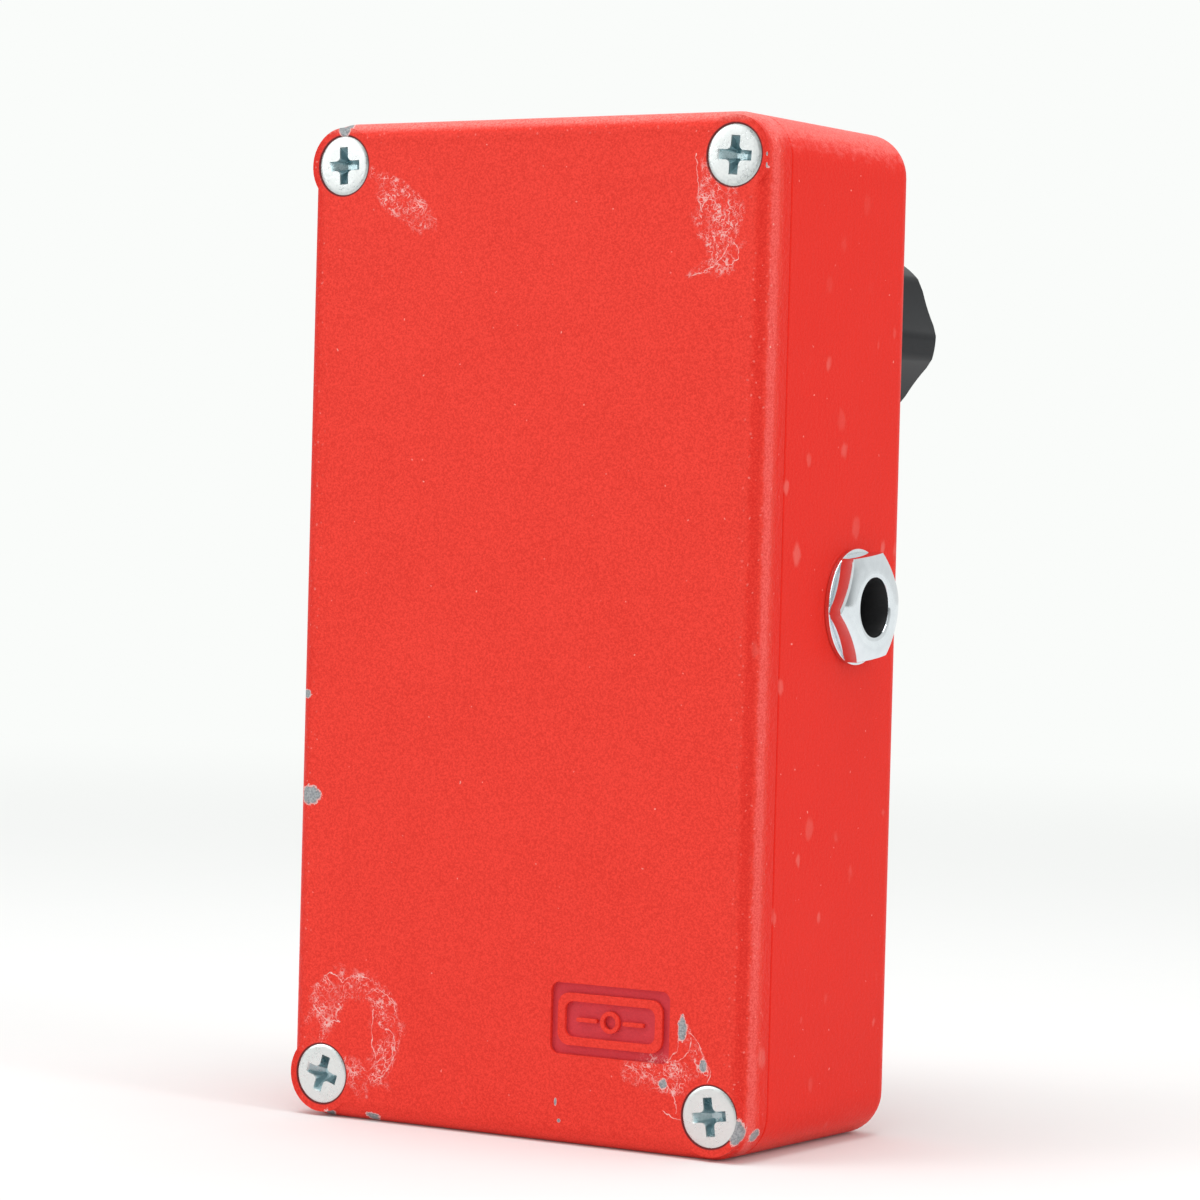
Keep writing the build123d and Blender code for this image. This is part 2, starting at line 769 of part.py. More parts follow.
def switch_lugs():
    half_width = lug_width / 2
    half = lug_thickness / 2
    lugs = []
    for x, z in lug_places():
        lugs.append(block(x - half_width, x + half_width, lug_y, lug_y + lug_length, z - half, z + half))
    return group(lugs)


def switch_board_plate():
    half_x = switch_board_width / 2
    half_z = switch_board_height / 2
    high_y = switch_board_y + switch_board
    plate = block(-half_x, half_x, switch_board_y, high_y, switch_z - half_z, switch_z + half_z)
    half_width = lug_width / 2 + lug_clearance
    half = lug_thickness / 2 + lug_clearance
    for x, z in lug_places():
        plate -= block(x - half_width, x + half_width, lug_y, high_y + wall, z - half, z + half)
    return plate


# ---- main board and its parts

def main_board():
    """The board behind the potentiometers, notched round the power jack."""
    plate = block(-board_half, board_half, board_y, board_back_y, board_low, board_high)
    notch_x = inner_side_x - power_body_length - power_tail - board_notch_gap
    notch_z = power_z + power_shoulder_radius + board_notch_gap
    plate -= block(notch_x, side_x, board_y - wall, board_back_y + wall, board_low - wall, notch_z)
    for x in (-pot_x, pot_x):
        for number in (-1, 0, 1):
            hole_z = pin_z + pin_thickness / 2
            hole_x = x + number * pin_pitch
            radius = pin_width / 2 + hole_clearance
            plate -= rod_y(radius, board_y - wall, board_back_y + wall, hole_x, hole_z)
    for side in (-1, 1):
        hole_x = side * lead_spacing / 2
        radius = lead_thickness / 2 + hole_clearance
        plate -= rod_y(radius, board_y - wall, board_back_y + wall, hole_x, light_z)
    return plate


def chip(x, z):
    """An eight-legged chip standing on the board."""
    low_y = board_back_y + chip_lift
    half_x = chip_width / 2
    half_z = chip_length / 2
    body = block(x - half_x, x + half_x, low_y, low_y + chip_thickness, z - half_z, z + half_z)
    leg = lead_thickness / 2
    for side in (-1, 1):
        for number in range(4):
            leg_z = z + (number - 1.5) * lead_spacing
            leg_x = x + side * (half_x + leg)
            leg_y = low_y + chip_thickness / 2
            body += block(leg_x - leg, leg_x + leg, board_back_y, leg_y, leg_z - leg, leg_z + leg)
    return body


def transistor(x, z):
    low_y = board_back_y + transistor_lift
    body = rod_y(transistor_radius, low_y, low_y + transistor_height, x, z)
    flat_z = z - transistor_radius / 2
    far = transistor_radius + wall
    body -= block(x - far, x + far, low_y, low_y + transistor_height, z - far, flat_z)
    for number in (-1, 0, 1):
        leg_x = x + number * lead_spacing / 2
        body += rod_y(lead_thickness / 2, board_back_y, low_y, leg_x, z)
    return body


def electrolytic(place, size):
    x, up = place
    radius, height = size
    can = rod_y(radius, board_back_y, board_back_y + height, x, board_low + up)
    return chamfer(can.edges().group_by(Axis.Y)[-1], radius / 10)


def film_capacitor(x, z):
    half_x = film_length / 2
    half_z = film_width / 2
    return block(x - half_x, x + half_x, board_back_y, board_back_y + film_height, z - half_z, z + half_z)


def resistor(x, z):
    """A resistor lying along X just above the board, with its two leads bent down to it."""
    y = board_back_y + resistor_radius + resistor_lead
    half = resistor_length / 2
    body = rod_x(resistor_radius, x - half, x + half, y, z)
    reach = half + resistor_lead
    body += rod_x(resistor_lead_radius, x - reach, x + reach, y, z)
    for side in (-1, 1):
        body += rod_y(resistor_lead_radius, board_back_y, y, x + side * reach, z)
    return body


def trimmer_moulding():
    half = trimmer_width / 2
    high_y = board_back_y + trimmer_height
    x, z = trimmer_x, trimmer_z
    body = block(x - half, x + half, board_back_y, high_y, z - half, z + half)
    return body - rod_y(rotor_radius + rotor_clearance, high_y - rotor, high_y + wall, x, z)


def trimmer_rotor():
    high_y = board_back_y + trimmer_height
    low_y = high_y - rotor + rotor_clearance
    disc = rod_y(rotor_radius, low_y, high_y, trimmer_x, trimmer_z)
    half = rotor_slot / 2
    return disc - block(
        trimmer_x - rotor_radius, trimmer_x + rotor_radius,
        high_y - rotor_slot, high_y + wall,
        trimmer_z - half, trimmer_z + half)


# ---- battery

def battery():
    low_y = battery_back_y - battery_thickness
    low_z = battery_low_z
    cell = block(battery_left_x, battery_right_x, low_y, battery_back_y, low_z, low_z + battery_height)
    cell = fillet(cell.edges().filter_by(Axis.X), battery_round)
    for side in (-1, 1):
        stud_z = battery_z + side * stud_pitch / 2
        cell += rod_x(stud_radius, battery_right_x, battery_right_x + stud_length, battery_y, stud_z)
    return cell


def battery_snap():
    """The moulded connector that presses onto the battery's two studs."""
    low_x = battery_right_x + snap_gap
    half_y = snap_depth / 2
    half_z = battery_height / 2
    high_x = low_x + snap_thickness
    low_y = battery_y - half_y
    high_y = battery_y + half_y
    snap = block(low_x, high_x, low_y, high_y, battery_z - half_z, battery_z + half_z)
    snap = fillet(snap.edges().filter_by(Axis.X), snap_depth / 4)
    for side in (-1, 1):
        stud_z = battery_z + side * stud_pitch / 2
        socket_x = battery_right_x + stud_length + snap_clearance
        snap -= rod_x(stud_radius + snap_clearance, battery_right_x - wall, socket_x, battery_y, stud_z)
    return snap


def battery_pad():
    low_x = battery_left_x + battery_round
    high_x = battery_right_x - battery_round
    low_z = battery_low_z + battery_round
    high_z = battery_low_z + battery_height - battery_round
    return block(low_x, high_x, battery_back_y, cover_inner_y, low_z, high_z)


# ---- wires: straight runs joined by tangent arcs

def wire(name, points):
    """A round wire through the points, each corner's arc as large as its two runs allow."""
    corners = [Vector(*point) for point in points]
    bends = []
    for before, at, after in zip(corners, corners[1:], corners[2:]):
        turn = (at - before).get_angle(after - at)
        shorter = min((at - before).length, (after - at).length)
        bends.append(wire_bend_share * shorter / tan(radians(turn / 2)))
    print(name, "bend radii", [round(bend, 2) for bend in bends])
    path = FilletPolyline(*corners, radius=bends)
    section = Plane(corners[0], z_dir=corners[1] - corners[0]) * Circle(wire_radius)
    return sweep(section, path=path)


def switch_wires():
    """Four wires from the foot switch's board, in front of the battery, to the main board."""
    wires = []
    start_x = wire_radius * 2 - switch_board_width / 2
    start_y = switch_board_y + switch_board
    front_y = inner_face_y + 3 * wire_radius
    end_z = board_low + 5.0
    for number in range(4):
        z = switch_z + (number - 1.5) * 2 * wire_pitch
        x = -switch_board_width / 2 - 2 * wire_pitch - number * wire_pitch
        points = [
            (start_x, start_y, z),
            (start_x, start_y + 3.0, z),
            (x, start_y + 3.0, z),
            (x, front_y, z),
            (x, front_y, end_z),
            (x, board_y, end_z),
        ]
        wires.append(wire("switch wire", points))
    return group(wires)


def jack_wires():
    """One wire from each jack's tip contact to the main board."""
    wires = []
    start_x = jack_low_x + tip_contact_from + tip_contact_length - contact_thickness / 2
    start_y = jack_y + jack_body / 2 + contact_tail
    for side in (-1, 1):
        points = [
            (side * start_x, start_y, jack_z),
            (side * start_x, start_y + 3.0, jack_z),
            (side * (jack_low_x + 6.6), start_y + 3.0, board_low - 1.0),
            (side * (jack_low_x + 5.1), start_y, board_low + 3.5),
            (side * (jack_low_x + 5.1), board_back_y, board_low + 3.5),
        ]
        wires.append(wire("jack wire", points))
    return group(wires)


def battery_leads():
    """The two leads from the snap connector, past the input jack, to the main board."""
    start_x = battery_right_x + snap_gap + snap_thickness / 2
    start_z = battery_low_z + battery_height
    near_y = battery_y + 1.8
    far_y = battery_y + 4.2
    red = [
        (start_x, near_y, start_z),
        (start_x, near_y, start_z + 6.0),
        (jack_low_x + 15.1, near_y + 2.2, start_z + 11.5),
        (jack_low_x + 10.1, near_y + 2.2, board_low + 2.5),
        (jack_low_x + 9.6, near_y - 3.0, board_low + 6.0),
        (jack_low_x + 9.6, board_back_y, board_low + 6.0),
    ]
    black = [
        (start_x, far_y, start_z),
        (start_x, far_y, start_z + 6.5),
        (jack_low_x + 14.6, far_y + 2.4, start_z + 12.0),
        (jack_low_x + 7.2, far_y + 2.4, board_low + 3.0),
        (jack_low_x + 7.2, far_y - 5.0, board_low + 9.0),
        (jack_low_x + 7.2, board_back_y, board_low + 9.0),
    ]
    return group([wire("red lead", red), wire("black lead", black)])


# ---- write every node

os.makedirs("parts", exist_ok=True)
save("enclosure", enclosure())
save("cover", cover())
save("cover_screws", group(cover_screw(x, z, turn) for (x, z), turn in zip(screw_places, screw_turns)))
for side_name, knob_x, knob_turn in (("left", -pot_x, knob_turn_left), ("right", pot_x, knob_turn_right)):
    save(f"knob_{side_name}", knob(knob_x, knob_turn))
    save(f"knob_pointer_{side_name}", knob_pointer(knob_x, knob_turn))
    save(f"knob_set_screw_{side_name}", knob_set_screw(knob_x, knob_turn))
    save(f"pot_shaft_{side_name}", pot_shaft(knob_x))
    save(f"pot_bushing_{side_name}", pot_bushing(knob_x))
    save(f"pot_wafer_{side_name}", pot_wafer(knob_x))
    save(f"pot_can_{side_name}", pot_can(knob_x))
    save(f"pot_pins_{side_name}", pot_pins(knob_x))
save("pot_washers", group(pot_washer_at(x) for x in (-pot_x, pot_x)))
save("pot_nuts", group(pot_nut_at(x) for x in (-pot_x, pot_x)))
save("input_jack_ferrule_nut", ferrule())
save("input_jack_body", jack_moulding())
save("input_jack_contacts", group(jack_contacts()))
save("output_jack_ferrule_nut", left_side(ferrule()))
save("output_jack_body", left_side(jack_moulding()))
save("output_jack_contacts", group(left_side(strip) for strip in jack_contacts()))
save("jack_washers", group([jack_washer_ring(), left_side(jack_washer_ring())]))
save("power_jack_body", power_jack_body())
save("power_jack_pin", power_jack_pin())
save("power_jack_spring", power_jack_spring())
save("power_jack_nut", power_jack_nut())
save("light_lens", light_lens())
save("light_bezel", light_bezel())
save("light_leads", light_leads())
save("footswitch_button", switch_button())
save("footswitch_bushing", switch_bushing())
save("footswitch_spring", switch_spring())
save("footswitch_outer_washer", switch_washer(face_y - switch_outer_washer, switch_outer_washer))
outer_nut_y = face_y - switch_outer_washer - switch_outer_nut
save("footswitch_outer_nut", switch_nut(outer_nut_y, switch_outer_nut, 12))
save("footswitch_lock_washer", switch_washer(inner_face_y, switch_lock_washer))
save("footswitch_inner_nut", switch_nut(switch_nut_y, switch_inner_nut, 0))
save("footswitch_frame", switch_frame_piece())
save("footswitch_body", switch_moulding())
save("footswitch_lugs", switch_lugs())
save("footswitch_board", switch_board_plate())
save("main_board", main_board())
save("op_amp_chips", group(chip(x, board_low + up) for x, up in chip_places))
save("transistors", group(transistor(x, board_low + up) for x, up in transistor_places))
save("electrolytic_capacitors", group(map(electrolytic, electrolytic_places, electrolytic_sizes)))
save("film_capacitors", group(film_capacitor(x, board_low + up) for x, up in film_places))
save("resistors", group(resistor(x, board_low + up) for x, up in resistor_places))
save("trimmer_body", trimmer_moulding())
save("trimmer_rotor", trimmer_rotor())
save("battery", battery())
save("battery_snap", battery_snap())
save("battery_pad", battery_pad())
save("battery_leads", battery_leads())
save("switch_wires", switch_wires())
save("jack_wires", jack_wires())
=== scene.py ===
"""The looks of a two-knob effects pedal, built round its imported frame.

Everything is in metres and in the frame's own axes. The box stands on its foot-switch end at z = 0,
with the screwed cover towards +Y and the knobs and foot switch towards -Y.
"""

import json
import math

import bmesh
import bpy
from mathutils import Matrix, Vector

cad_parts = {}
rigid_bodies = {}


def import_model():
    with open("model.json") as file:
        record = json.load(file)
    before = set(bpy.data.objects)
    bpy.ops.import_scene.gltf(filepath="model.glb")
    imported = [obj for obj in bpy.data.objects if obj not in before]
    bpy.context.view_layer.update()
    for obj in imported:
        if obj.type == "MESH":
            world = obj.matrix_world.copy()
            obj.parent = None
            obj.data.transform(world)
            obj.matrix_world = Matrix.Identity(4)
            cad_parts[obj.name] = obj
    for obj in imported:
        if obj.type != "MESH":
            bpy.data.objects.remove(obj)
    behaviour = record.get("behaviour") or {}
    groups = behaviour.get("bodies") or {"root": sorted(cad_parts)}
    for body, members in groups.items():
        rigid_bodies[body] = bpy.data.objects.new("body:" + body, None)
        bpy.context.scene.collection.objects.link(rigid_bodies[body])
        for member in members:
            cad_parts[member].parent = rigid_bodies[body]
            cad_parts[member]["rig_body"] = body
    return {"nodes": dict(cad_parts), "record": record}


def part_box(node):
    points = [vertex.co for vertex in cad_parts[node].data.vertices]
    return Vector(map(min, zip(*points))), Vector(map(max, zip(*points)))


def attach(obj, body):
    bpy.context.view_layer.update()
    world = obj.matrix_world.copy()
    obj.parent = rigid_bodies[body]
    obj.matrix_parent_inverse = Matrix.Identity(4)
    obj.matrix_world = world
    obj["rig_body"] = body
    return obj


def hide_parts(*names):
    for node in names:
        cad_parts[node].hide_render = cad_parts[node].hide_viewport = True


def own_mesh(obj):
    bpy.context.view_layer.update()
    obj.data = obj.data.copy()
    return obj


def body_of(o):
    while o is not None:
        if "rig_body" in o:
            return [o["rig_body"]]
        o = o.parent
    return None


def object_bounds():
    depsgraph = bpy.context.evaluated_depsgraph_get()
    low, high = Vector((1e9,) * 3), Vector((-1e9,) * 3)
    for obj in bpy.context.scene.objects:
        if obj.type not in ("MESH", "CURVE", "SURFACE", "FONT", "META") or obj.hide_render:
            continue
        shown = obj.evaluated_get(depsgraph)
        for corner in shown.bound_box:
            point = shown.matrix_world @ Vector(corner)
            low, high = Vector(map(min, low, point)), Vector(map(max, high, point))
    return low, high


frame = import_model()
cad_low, cad_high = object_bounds()
nodes = frame["nodes"]
MM = 0.001


# ---- camera

camera_place = Vector((-0.255297, 0.403294, 0.067762))
camera_yaw = math.radians(32.34)
camera_pitch = math.radians(-1.04)
camera_roll = math.radians(1.49)
camera_lens = 127.09


def studio_camera():
    forward = Vector(
        (
            math.sin(camera_yaw) * math.cos(camera_pitch),
            -math.cos(camera_yaw) * math.cos(camera_pitch),
            math.sin(camera_pitch),
        )
    )
    level = forward.cross(Vector((0, 0, 1))).normalized()
    upright = level.cross(forward)
    right = level * math.cos(camera_roll) + upright * math.sin(camera_roll)
    up = right.cross(forward)
    turn = Matrix((right, up, -forward)).transposed().to_4x4()
    data = bpy.data.cameras.new("studio_camera")
    data.lens = camera_lens
    data.sensor_width = 36.0
    data.clip_start = 0.01
    data.clip_end = 50.0
    camera = bpy.data.objects.new("studio_camera", data)
    camera.matrix_world = Matrix.Translation(camera_place) @ turn
    bpy.context.scene.collection.objects.link(camera)
    bpy.context.scene.camera = camera


# ---- node trees

class Tree:
    """Adds and joins nodes in one node tree."""

    def __init__(self, tree):
        self.nodes = tree.nodes
        self.links = tree.links

    def feed(self, socket, value):
        if isinstance(value, bpy.types.NodeSocket):
            self.links.new(value, socket)
        else:
            socket.default_value = value

    def add(self, kind, sockets=None, **settings):
        node = self.nodes.new(kind)
        for name, value in settings.items():
            setattr(node, name, value)
        for name, value in (sockets or {}).items():
            self.feed(node.inputs[name], value)
        return node

    def math(self, operation, *values):
        node = self.nodes.new("ShaderNodeMath")
        node.operation = operation
        for socket, value in zip(node.inputs, values):
            self.feed(socket, value)
        return node.outputs["Value"]

    def vector(self, operation, *values):
        node = self.nodes.new("ShaderNodeVectorMath")
        node.operation = operation
        for socket, value in zip(node.inputs, values):
            self.feed(socket, value)
        return node.outputs["Value" if operation in ("LENGTH", "DOT_PRODUCT") else "Vector"]

    def fade(self, value, start, end, low=0.0, high=1.0):
        """low up to start, high past end, and smooth between."""
        sockets = {"Value": value, "From Min": start, "From Max": end, "To Min": low, "To Max": high}
        node = self.add("ShaderNodeMapRange", sockets, interpolation_type="SMOOTHSTEP")
        return node.outputs["Result"]

    def noise(self, where, scale, detail=2.0, roughness=0.5, output="Fac"):
        sockets = {"Vector": where, "Scale": scale, "Detail": detail, "Roughness": roughness}
        return self.add("ShaderNodeTexNoise", sockets).outputs[output]

    def blend(self, mask, first, second):
        """The first colour where mask is 0, the second where it is 1."""
        node = self.nodes.new("ShaderNodeMix")
        node.data_type = "RGBA"
        self.feed(node.inputs[0], mask)
        self.feed(node.inputs[6], first)
        self.feed(node.inputs[7], second)
        return node.outputs[2]

    def product(self, *values):
        total = values[0]
        for value in values[1:]:
            total = self.math("MULTIPLY", total, value)
        return total

    def stripe(self, value, rise, fall):
        """1 from the end of rise to the start of fall, and 0 outside them."""
        return self.product(self.fade(value, *rise), self.fade(value, fall[1], fall[0]))

    def within(self, value, centre, half, blur):
        """1 where value is less than half away from centre, with a blurred edge."""
        away = self.math("ABSOLUTE", self.math("SUBTRACT", value, centre))
        return self.fade(away, half + blur / 2, half - blur / 2)

    def millimetres(self):
        place = self.nodes.new("ShaderNodeTexCoord").outputs["Object"]
        node = self.add("ShaderNodeVectorMath", {0: place}, operation="SCALE")
        node.inputs["Scale"].default_value = 1 / MM
        return node.outputs["Vector"]

    def place(self, group, values):
        """Puts an effect in this tree with its own values, and gives the effect's outputs."""
        node = self.nodes.new("ShaderNodeGroup")
        node.node_tree = group
        for name, value in values.items():
            self.feed(node.inputs[name], value)
        return node.outputs


def effect(name, inputs, outputs):
    """A new node group with named sockets: its tree, its input values and its output node."""
    group = bpy.data.node_groups.new(name, "ShaderNodeTree")
    for socket_name, kind, value in inputs:
        socket = group.interface.new_socket(socket_name, in_out="INPUT", socket_type=kind)
        socket.default_value = value
    for socket_name, kind in outputs:
        group.interface.new_socket(socket_name, in_out="OUTPUT", socket_type=kind)
    tree = Tree(group)
    given = group.nodes.new("NodeGroupInput").outputs
    result = group.nodes.new("NodeGroupOutput").inputs
    return group, tree, given, result


def add_mask(tree, masks, opacity=1.0):
    total = masks[0]
    for mask in masks[1:]:
        total = tree.math("MAXIMUM", total, mask)
    return tree.math("MULTIPLY", total, opacity)


NUMBER = "NodeSocketFloat"
VECTOR = "NodeSocketVector"


def fine_grain_effect():
    """Small uneven shade and relief, drawn out along Stretch for turned, rolled or brushed metal."""
    group, tree, given, result = effect(
        "fine grain",
        (("Size", NUMBER, 0.3), ("Stretch", VECTOR, (1.0, 1.0, 1.0)), ("Contrast", NUMBER, 1.0)),
        (("Shade", NUMBER), ("Relief", NUMBER)),
    )
    where = tree.vector("DIVIDE", tree.millimetres(), given["Stretch"])
    close = tree.math("DIVIDE", 1.0, given["Size"])
    grain = tree.noise(where, close, 4.0, 0.6)
    broad = tree.noise(where, tree.math("MULTIPLY", close, 0.13), 2.0)
    both = tree.math("ADD", tree.math("MULTIPLY", grain, 0.6), tree.math("MULTIPLY", broad, 0.4))
    spread = tree.math("MULTIPLY", tree.math("SUBTRACT", both, 0.5), given["Contrast"])
    shade = tree.math("MULTIPLY_ADD", spread, 2.4, 0.5)
    tree.feed(result["Shade"], tree.math("MINIMUM", tree.math("MAXIMUM", shade, 0.0), 1.0))
    tree.feed(result["Relief"], grain)
    return group


def flecks_effect():
    """Separate small spots, one in some of the cells of a random grid."""
    group, tree, given, result = effect(
        "scattered flecks",
        (
            ("Spacing", NUMBER, 4.0),
            ("Radius", NUMBER, 0.3),
            ("Share", NUMBER, 0.5),
            ("Stretch", VECTOR, (1.0, 1.0, 1.0)),
        ),
        (("Mask", NUMBER),),
    )
    where = tree.vector("DIVIDE", tree.millimetres(), given["Stretch"])
    wander = tree.noise(where, 1.1, 2.0, 0.5, "Color")
    shift = tree.vector("MULTIPLY", tree.vector("SUBTRACT", wander, (0.5, 0.5, 0.5)), (0.7, 0.7, 0.7))
    close = tree.math("DIVIDE", 1.0, given["Spacing"])
    sockets = {"Vector": tree.vector("ADD", where, shift), "Scale": close}
    cells = tree.add("ShaderNodeTexVoronoi", sockets)
    colour = tree.add("ShaderNodeSeparateColor", {"Color": cells.outputs["Color"]}).outputs
    chosen = tree.math("LESS_THAN", colour["Red"], given["Share"])
    size = tree.math("MULTIPLY_ADD", colour["Green"], 0.9, 0.35)
    reach = tree.math("DIVIDE", tree.math("MULTIPLY", given["Radius"], size), given["Spacing"])
    near = tree.math("DIVIDE", cells.outputs["Distance"], reach)
    spot = tree.fade(near, 1.0, 0.45)
    strength = tree.math("MULTIPLY_ADD", colour["Blue"], 0.7, 0.3)
    tree.feed(result["Mask"], tree.math("MULTIPLY", tree.math("MULTIPLY", spot, chosen), strength))
    return group


def chip_effect():
    """One chip knocked out of a coat: the bare patch, and the pale lifted edge round it."""
    group, tree, given, result = effect(
        "coat chip",
        (("Centre", VECTOR, (0.0, 0.0, 0.0)), ("Reach", VECTOR, (1.0, 1.0, 1.0)), ("Ragged", NUMBER, 0.6)),
        (("Bare", NUMBER), ("Rim", NUMBER)),
    )
    where = tree.millimetres()
    away = tree.vector("DIVIDE", tree.vector("SUBTRACT", where, given["Centre"]), given["Reach"])
    coarse = tree.math("SUBTRACT", tree.noise(where, 1.6, 3.0, 0.6), 0.5)
    nicks = tree.math("SUBTRACT", tree.noise(where, 5.5, 2.0, 0.6), 0.5)
    ragged = tree.math("MULTIPLY_ADD", nicks, 0.8, tree.math("MULTIPLY", coarse, 1.5))
    distance = tree.math("MULTIPLY_ADD", ragged, given["Ragged"], tree.vector("LENGTH", away))
    tree.feed(result["Bare"], tree.fade(distance, 1.0, 0.93))
    outer = tree.fade(distance, 1.22, 1.1)
    tree.feed(result["Rim"], tree.math("SUBTRACT", outer, tree.fade(distance, 1.0, 0.93)))
    return group


def tangle_effect():
    """A patch of fine curling scratches with lint in them. Hollow leaves the middle clear."""
    group, tree, given, result = effect(
        "scuff tangle",
        (
            ("Centre", VECTOR, (0.0, 0.0, 0.0)),
            ("Reach", VECTOR, (4.0, 4.0, 4.0)),
            ("Lean", NUMBER, 0.0),
            ("Hollow", NUMBER, 0.0),
        ),
        (("Mask", NUMBER),),
    )
    where = tree.millimetres()
    offset = tree.vector("SUBTRACT", where, given["Centre"])
    turned = tree.add(
        "ShaderNodeVectorRotate",
        {"Vector": offset, "Angle": given["Lean"]},
        rotation_type="Y_AXIS",
    ).outputs["Vector"]
    reach = tree.vector("LENGTH", tree.vector("DIVIDE", turned, given["Reach"]))
    sway = tree.math("SUBTRACT", tree.noise(where, 0.45, 2.0), 0.5)
    uneven = tree.math("MULTIPLY_ADD", sway, 1.1, reach)
    ring = tree.product(tree.fade(uneven, 1.05, 0.75), tree.fade(uneven, given["Hollow"], 1.0))
    not_hollow = tree.math("LESS_THAN", given["Hollow"], 0.01)
    filled = tree.product(tree.fade(uneven, 1.05, 0.8), not_hollow)
    region = tree.math("MAXIMUM", ring, filled)
    layers = []
    for scale, shift in ((0.42, 3.1), (0.75, 11.7), (1.3, 23.9), (2.2, 37.3)):
        moved = tree.vector("ADD", where, (shift, 0.0, shift))
        curl = tree.math("ABSOLUTE", tree.math("SUBTRACT", tree.noise(moved, scale, 2.5, 0.55), 0.5))
        unbroken = tree.fade(tree.noise(moved, 0.9, 2.0), 0.44, 0.56)
        layers.append(tree.math("MULTIPLY", tree.fade(curl, 0.022, 0.004), unbroken))
    hair = add_mask(tree, layers)
    haze = tree.math("MULTIPLY", tree.fade(tree.noise(where, 3.4, 3.0, 0.7), 0.52, 0.72), 0.35)
    patchy = tree.fade(tree.noise(where, 0.55, 2.0), 0.34, 0.6, 0.25, 1.0)
    mask = tree.math("MULTIPLY", tree.math("MAXIMUM", hair, haze), tree.math("MULTIPLY", region, patchy))
    tree.feed(result["Mask"], mask)
    return group


def hair_effect():
    """One long curling scratch: part of a circle, with a slight waver."""
    group, tree, given, result = effect(
        "long scratch",
        (
            ("Centre", VECTOR, (0.0, 0.0, 0.0)),
            ("Radius", NUMBER, 2.0),
            ("Toward", VECTOR, (0.0, 0.0, 1.0)),
            ("Spread", NUMBER, 0.0),
            ("Width", NUMBER, 0.08),
        ),
        (("Mask", NUMBER),),
    )
    where = tree.millimetres()
    waver = tree.vector("SUBTRACT", tree.noise(where, 0.9, 3.0, 0.6, "Color"), (0.5, 0.5, 0.5))
    wavered = tree.vector("ADD", where, waver)
    flat = tree.vector("MULTIPLY", tree.vector("SUBTRACT", wavered, given["Centre"]), (1.0, 0.0, 1.0))
    off_line = tree.math("ABSOLUTE", tree.math("SUBTRACT", tree.vector("LENGTH", flat), given["Radius"]))
    line = tree.fade(tree.math("DIVIDE", off_line, given["Width"]), 1.0, 0.3)
    direction = tree.vector("NORMALIZE", flat)
    ahead = tree.vector("DOT_PRODUCT", direction, given["Toward"])
    along = tree.math("GREATER_THAN", ahead, given["Spread"])
    strength = tree.fade(tree.noise(where, 1.4, 2.0), 0.36, 0.6, 0.35, 1.0)
    tree.feed(result["Mask"], tree.math("MULTIPLY", tree.math("MULTIPLY", line, along), strength))
    return group


fine_grain = fine_grain_effect()
flecks = flecks_effect()
coat_chip = chip_effect()
scuff_tangle = tangle_effect()
long_scratch = hair_effect()


# ---- finishes

def finish(name, roughness, metallic=0.0, **constants):
    """A new material, its tree and its Principled shader, with constant values set on the shader."""
    material = bpy.data.materials.new(name)
    material.use_nodes = True
    tree = Tree(material.node_tree)
    shader = tree.nodes["Principled BSDF"]
    shader.inputs["Roughness"].default_value = roughness
    shader.inputs["Metallic"].default_value = metallic
    for socket, value in constants.items():
        shader.inputs[socket.replace("_", " ")].default_value = value
    return material, tree, shader


def relief(tree, shader, height, depth_mm):
    bump = tree.add("ShaderNodeBump", {"Height": height, "Distance": depth_mm * MM})
    tree.feed(shader.inputs["Normal"], bump.outputs["Normal"])


def worked(name, dark, light, rough, grain, depth, stretch=(1.0, 1.0, 1.0), metallic=0.0, **constants):
    """A finish of one stuff: two shades, a range of roughness and a shallow relief from one grain."""
    material, tree, shader = finish(name, rough[0], metallic, **constants)
    out = tree.place(fine_grain, {"Size": grain, "Stretch": stretch})
    tree.feed(shader.inputs["Base Color"], tree.blend(out["Shade"], (*dark, 1.0), (*light, 1.0)))
    tree.feed(shader.inputs["Roughness"], tree.fade(out["Shade"], 0.0, 1.0, *rough))
    relief(tree, shader, out["Relief"], depth)
    return material


screw_offset_x = 25.5
screw_offset_z = 51.2
coat_chips = (
    # centre, reach, ragged
    ((28.0, 16.0, 36.2), (1.3, 1.5, 0.95), 0.8),
    ((29.0, 15.6, 47.6), (0.7, 1.0, 0.45), 0.7),
    ((25.5, 16.0, 111.3), (0.72, 3.0, 0.8), 0.35),
    ((-29.0, 16.0, 3.5), (0.95, 0.85, 1.35), 0.7),
    ((-29.7, 13.3, 2.9), (1.0, 0.85, 0.66), 0.9),
    ((24.6, 15.2, 0.5), (0.6, 1.0, 0.5), 0.9),
    ((18.6, 15.6, 0.5), (1.0, 1.0, 0.45), 0.9),
    ((-29.5, 16.0, 107.2), (0.10, 1.0, 0.20), 0.3),
    ((-29.5, 16.0, 106.0), (0.09, 1.0, 0.26), 0.3),
    ((-6.0, 16.0, 4.6), (0.15, 1.0, 0.38), 0.4),
    ((-6.5, 16.0, 2.6), (0.20, 1.0, 0.18), 0.4),
    ((-21.9, 16.0, 14.0), (0.5, 1.0, 1.2), 0.9),
    ((-24.6, 16.0, 10.2), (0.42, 1.0, 0.6), 0.9),
    ((-19.6, 16.0, 7.8), (0.45, 1.0, 0.55), 0.8),
)
